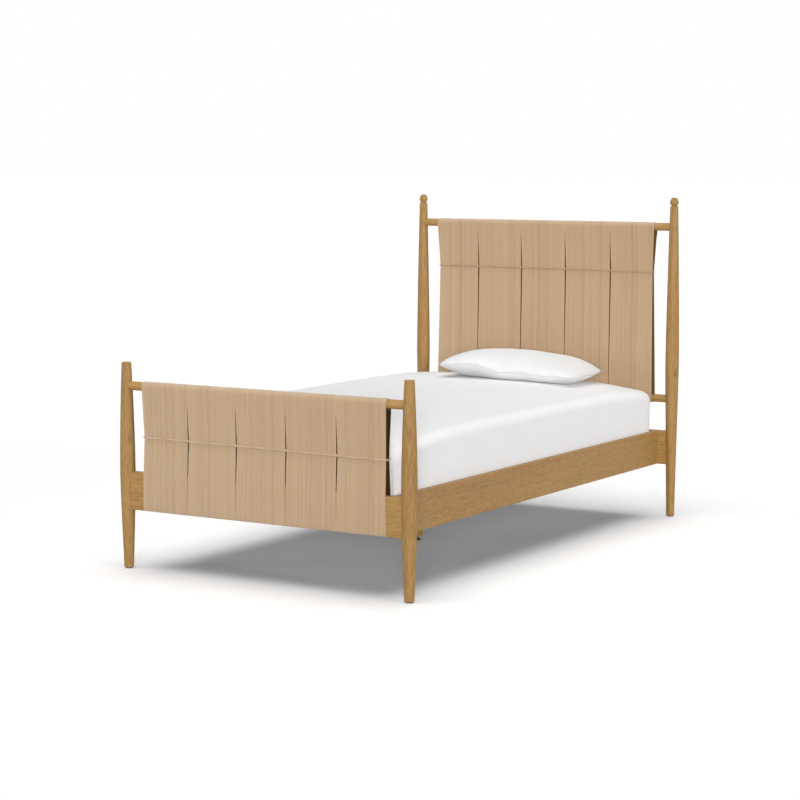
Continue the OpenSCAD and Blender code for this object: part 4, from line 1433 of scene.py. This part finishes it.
    def laid(self, points: np.ndarray, cut: np.ndarray) -> np.ndarray:
        """Lays the filled case on the mattress, flat underneath where it rests.

        Args:
            points: The case's points about the middle of its seam's plane.
            cut: The points on the flat cut.

        Returns:
            The points in the bed's frame.
        """
        x, y, z = points.T
        u, v = 2 * cut[:, 0] / self.cut_l, 2 * cut[:, 1] / self.cut_d
        from_side, from_front = (1 - np.abs(u)) * self.cut_l, (1 - np.abs(v)) * self.cut_d
        from_rim = np.minimum(from_side, from_front) / 2
        along = np.where(from_side < from_front, y, x)
        pucker = self.pucker * np.sin(along * 190 + 2.2 * np.sin(along * 47)) * np.exp(-from_rim / 0.016)
        crease = (x - 0.105 - 0.12 * y) / 0.03
        dent = self.dent * np.exp(-crease ** 2) * np.clip(z / 0.02, 0, 1) * np.clip(0.4 - y / 0.1, 0, 1)
        scale = self.upper_scale + 0.28 * u * u + swells(u, self.top_swells)
        rise = self.seam_height(x, u, v, from_rim) + pucker + np.where(z > 0, z * scale - dent, z)
        rise = self.flattening * np.logaddexp(0, rise / self.flattening)
        proud = self.seam_lip * np.exp(-from_rim / 0.005)
        x, y = x + proud * np.clip(u * 1.02, -1, 1) ** 9, y + proud * np.clip(v * 1.02, -1, 1) ** 9
        turn = math.radians(self.turn)
        at_x = self.centre_x + x * math.cos(turn) - y * math.sin(turn)
        at_y = self.mattress.length / 2 - self.from_head + x * math.sin(turn) + y * math.cos(turn)
        return np.column_stack([at_x, at_y, self.mattress.top(at_x, at_y) + self.clearance + rise])

    def seam_piping(self, points: np.ndarray) -> Skin:
        """The folded seam allowance that stands a little proud all round the case, in a greyer cotton that
        paints the shade along the seam.

        Args:
            points: The laid case's points.

        Returns:
            The seam's skin.
        """
        grid = np.arange(self.columns * self.rows).reshape(self.rows, self.columns)
        order = np.concatenate([grid[0, :-1], grid[:-1, -1], grid[-1, :0:-1], grid[:0:-1, 0], grid[:1, 0]])
        path = points[order]
        outs, sides = along_path(path)
        tones = np.full(len(path), 0.5)
        return tube(path, outs, sides, self.seam_r * 0.8, self.seam_r * 1.5, SIX_SIDES, tones)

    def build(self) -> bpy.types.Object:
        """Makes the pillow and its seam in place of its CAD solid.

        Returns:
            The pillow's piece.
        """
        points, cut, faces = self.case()
        uvs = np.array([cut[i, :2] for face in faces for i in face])
        piece = Skin(points, faces, uvs).piece("pillow_in_case", "cloth", self.finish.material())
        self.filled(piece, cut)
        mesh = piece.data
        held = np.empty(len(mesh.vertices) * 3, np.float32)
        mesh.vertices.foreach_get("co", held)
        lain = self.laid(held.reshape(-1, 3), cut)
        mesh.vertices.foreach_set("co", lain.astype(np.float32).ravel())
        mesh.update()
        smooth = piece.modifiers.new("finer", "SUBSURF")
        smooth.levels = smooth.render_levels = 1
        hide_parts("pillow")
        seam = self.seam_piping(lain).piece("pillow_case_seam", "cloth", self.seam_painted_shade_finish.material())
        for made in (piece, seam):
            hand_over(made, "pillow")
        return piece


# ---- Timber and hardware ----


@dataclass
class Timber:
    """The wooden parts of the frame, each with a cut of its own from the tree."""

    honey: WoodFinish
    # Painted shade: a darker copy of the honey oak, so the posts, lit more strongly by the front lamp, come
    # out as dark as the boards.
    post: WoodFinish
    # Painted shade: a darker copy of the honey oak for the side rails, darker than the right lamp leaves
    # them.
    rail: WoodFinish
    pale: WoodFinish
    slat_count: int = 13

    def plan(self) -> list[tuple[str, WoodFinish, Grain]]:
        """Every wooden CAD node with its finish and grain.

        Returns:
            Node, finish and grain for each.
        """
        sides = ("left", "right")
        ends = ("head", "foot")
        made = [(f"{end}_post_{side}", self.post, Grain.UPRIGHT) for end in ends for side in sides]
        made += [(f"head_finial_{side}", self.post, Grain.UPRIGHT) for side in sides]
        made += [(node, self.honey, Grain.ACROSS_BED) for node in (
            "head_top_rail", "head_lower_rail", "head_cross_board", "foot_top_rail", "foot_cross_board")]
        made += [(f"side_rail_{side}", self.rail, Grain.ALONG_BED) for side in sides]
        made += [(f"slat_cleat_{side}", self.pale, Grain.ALONG_BED) for side in sides]
        made += [(f"slat_{n + 1:02d}", self.pale, Grain.ACROSS_BED) for n in range(self.slat_count)]
        made += [("centre_bearer", self.pale, Grain.ACROSS_BED), ("centre_leg", self.honey, Grain.UPRIGHT)]
        return made

    def dress(self) -> None:
        """Gives each wooden node its material."""
        random = np.random.default_rng(11)
        for node, finish, grain in self.plan():
            shift = [0.0, 0.0, 0.0]
            across, also, along = grain.value
            shift[across] = float(random.uniform(0.05, 0.14))
            shift[also] = float(random.uniform(0.04, 0.12))
            shift[along] = float(random.uniform(-3, 3))
            low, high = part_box(node)
            middle = (low + high) / 2
            for axis in (across, also):
                shift[axis] -= middle[axis]
            dress_node(node, finish.material(node, grain, tuple(shift)))


@dataclass
class Hardware:
    """The metal plates, screws and bolts, and the plastic glides and foot."""

    steel: MetalFinish
    plastic: PlasticFinish

    def dress(self) -> None:
        """Gives each metal and plastic node its material."""
        plates = ("rail_hook_plates", "rail_catch_plates", "rail_plate_screws")
        for node in plates + ("cleat_screws", "slat_screws", "leg_bolt", "leveller_insert"):
            brushed = Grain.UPRIGHT if node in plates else Grain.ACROSS_BED
            dress_node(node, self.steel.material(node, brushed))
        black = self.plastic.material()
        for node in ("post_glides", "leveller"):
            dress_node(node, black)


def dress_node(node: str, material: bpy.types.Material) -> None:
    """Puts a material on a CAD node.

    Args:
        node: The node's name.
        material: The material.
    """
    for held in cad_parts[node].material_slots:
        held.material = material
    LOG.info("%s: dressed", node)


# ---- Studio ----


@dataclass(frozen=True)
class Lamp:
    """A wide, far lamp.

    Its azimuth is 0 in front of the foot end and 90 at +X. Angles are in degrees.
    """

    name: str
    energy: float
    spread: float
    azimuth: float
    elevation: float

    def build(self) -> None:
        """Adds the lamp to the scene."""
        data = bpy.data.lights.new(self.name, "SUN")
        data.energy = self.energy
        data.angle = math.radians(self.spread)
        lamp = bpy.data.objects.new(self.name, data)
        a, e = math.radians(self.azimuth), math.radians(self.elevation)
        towards = Vector((math.sin(a) * math.cos(e), -math.cos(a) * math.cos(e), math.sin(e)))
        lamp.rotation_mode = "QUATERNION"
        lamp.rotation_quaternion = towards.to_track_quat("Z", "Y")
        lamp.location = towards * 6
        bpy.context.scene.collection.objects.link(lamp)


@dataclass
class Studio:
    """A pale floor, soft lamps and the camera at the photograph's angle."""

    camera_at: Place = (4.1761, -6.8757, 1.4339)
    yaw: float = 31.726
    pitch: float = 6.491
    lens: float = 99.72
    floor_half: float = 90.0
    floor_tone: float = 0.50
    floor_seen: Colour = (1.18, 1.152, 1.123)
    floor_lift: Colour = (0.0, 0.025, 0.050)
    sky: float = 0.06
    lamps: tuple[Lamp, ...] = (
        Lamp("overhead_lamp", 2.15, 66, 0, 88),
        Lamp("front_lamp", 1.75, 14, 30, 7),
        Lamp("right_lamp", 1.02, 14, 80, 7),
        Lamp("left_lamp", 0.62, 14, -50, 7),
    )

    def add_camera(self) -> None:
        """Makes the scene's camera."""
        data = bpy.data.cameras.new("photo_camera")
        data.sensor_width = 36.0
        data.lens = self.lens
        data.clip_end = 400.0
        camera = bpy.data.objects.new("photo_camera", data)
        camera.location = self.camera_at
        camera.rotation_euler = (math.radians(90 - self.pitch), 0.0, math.radians(self.yaw))
        bpy.context.scene.collection.objects.link(camera)
        bpy.context.scene.camera = camera

    def add_world(self) -> None:
        """A sky that lights softly and shows white."""
        world = bpy.data.worlds.new("white_room")
        world.use_nodes = True
        nodes = Nodes(world.node_tree)
        background = nodes.tree.nodes["Background"]
        strength = nodes.node("MapRange", {"Value": nodes.seen_directly(), "To Min": self.sky, "To Max": 1.0})
        nodes.feed(background.inputs["Color"], (1.0, 1.0, 1.0))
        nodes.feed(background.inputs["Strength"], strength.outputs[0])
        bpy.context.scene.world = world

    def add_floor(self) -> None:
        """A pale floor that keeps the bed's shadow, seen brighter than it lights the bed."""
        look = Look("pale_floor")
        seen = look.seen_directly()
        tone = look.plus(look.times(look.noise(look.place(), 0.7), 0.004), self.floor_tone)
        levels = [look.plus(tone, look.times(seen, level - self.floor_tone)) for level in self.floor_seen]
        colour = look.node("CombineColor", dict(enumerate(levels))).outputs[0]
        matt = look.node("BsdfDiffuse", {"Color": colour})
        glow = look.node("Emission", {"Color": self.floor_lift, "Strength": seen})
        both = look.node("AddShader", {0: matt.outputs[0], 1: glow.outputs[0]})
        look.feed(look.tree.nodes["Material Output"].inputs["Surface"], both.outputs[0])
        half = self.floor_half
        corners = np.array([[-half, -half, 0], [half, -half, 0], [half, half, 0], [-half, half, 0]], float)
        floor = Skin(corners, [[0, 1, 2, 3]], corners[:, :2]).piece("pale_floor", "cloth", look.material)

    def build(self) -> None:
        """Sets up the camera, the floor and the light."""
        self.add_camera()
        self.add_world()
        self.add_floor()
        for lamp in self.lamps:
            lamp.build()
        bpy.context.scene.view_settings.view_transform = "Standard"


HONEY_OAK = WoodFinish("honey_oak", (0.236, 0.115, 0.030), (0.410, 0.231, 0.074), (0.520, 0.320, 0.124))
# Painted shade: the posts' darker copy of the honey oak.
POST_OAK_PAINTED_SHADE = WoodFinish("honey_oak_post", (0.208, 0.101, 0.025), (0.362, 0.202, 0.063), (0.460, 0.281, 0.106))
# Painted shade: the side rails' darker copy of the honey oak.
RAIL_OAK_PAINTED_SHADE = WoodFinish("honey_oak_rail", (0.205, 0.100, 0.026), (0.355, 0.198, 0.063), (0.450, 0.275, 0.104))
PALE_PINE = WoodFinish("pale_pine", (0.42, 0.27, 0.13), (0.60, 0.43, 0.25), (0.72, 0.56, 0.36))
ZINC_STEEL = MetalFinish("zinc_steel", (0.55, 0.56, 0.57))
BLACK_PLASTIC = PlasticFinish("black_plastic", (0.02, 0.02, 0.021))
FOOT_CORD = CordFinish("paper_cord", (0.520, 0.343, 0.183), 0.008)
# The head's inner faces get a browner painted shade.
HEAD_CORD = CordFinish("paper_cord_head", (0.520, 0.343, 0.183), 0.008, painted_shade=(0.22, 0.115, 0.036))
# Both ties carry painted shade on their undersides.
FOOT_TIE = CordFinish("tie_cord", (0.60, 0.42, 0.255), 0.006, 2, underside=0.30)
HEAD_TIE = CordFinish(
    "tie_cord_head", (0.44, 0.26, 0.110), 0.006, 2, painted_shade=(0.15, 0.075, 0.022), underside=0.45)
TICKING = TickingFinish("ticking", (0.78, 0.77, 0.73), (0.42, 0.47, 0.55))
SHEET_COTTON = CottonFinish("sheet_cotton", (0.835, 0.835, 0.84))
CASE_COTTON = CottonFinish("case_cotton", (0.74, 0.74, 0.745))
# Greyer than the case: painted shade along the pillow's seam.
SEAM_PAINTED_SHADE_COTTON = CottonFinish("case_seam_cotton", (0.56, 0.56, 0.565))


def main() -> None:
    """Builds the bed's sub-assemblies in order, and the studio round them."""
    logging.basicConfig(level=logging.INFO, format="%(name)s %(message)s")
    Studio().build()
    Timber(HONEY_OAK, POST_OAK_PAINTED_SHADE, RAIL_OAK_PAINTED_SHADE, PALE_PINE).dress()
    Hardware(ZINC_STEEL, BLACK_PLASTIC).dress()
    CordPanel(
        end=End.HEAD, post_y=0.978, rail_z=1.130, pinch=0.016, slit=0.0068, side_draw=0.009,
        tie_slope=0.0012, rail_grip=0.012, finish=HEAD_CORD, tie_finish=HEAD_TIE,
    ).build()
    CordPanel(
        end=End.FOOT, post_y=-0.978, rail_z=0.630, pinch=0.020, slit=0.0053, side_draw=0.004,
        tie_slope=0.0030, rail_grip=0.13, finish=FOOT_CORD, tie_finish=FOOT_TIE,
    ).build()
    mattress = Mattress(TICKING)
    under = mattress.build()
    FittedSheet(mattress, SHEET_COTTON).build(under)
    Pillow(mattress, CASE_COTTON, SEAM_PAINTED_SHADE_COTTON).build()


if __name__ == "__main__":
    main()
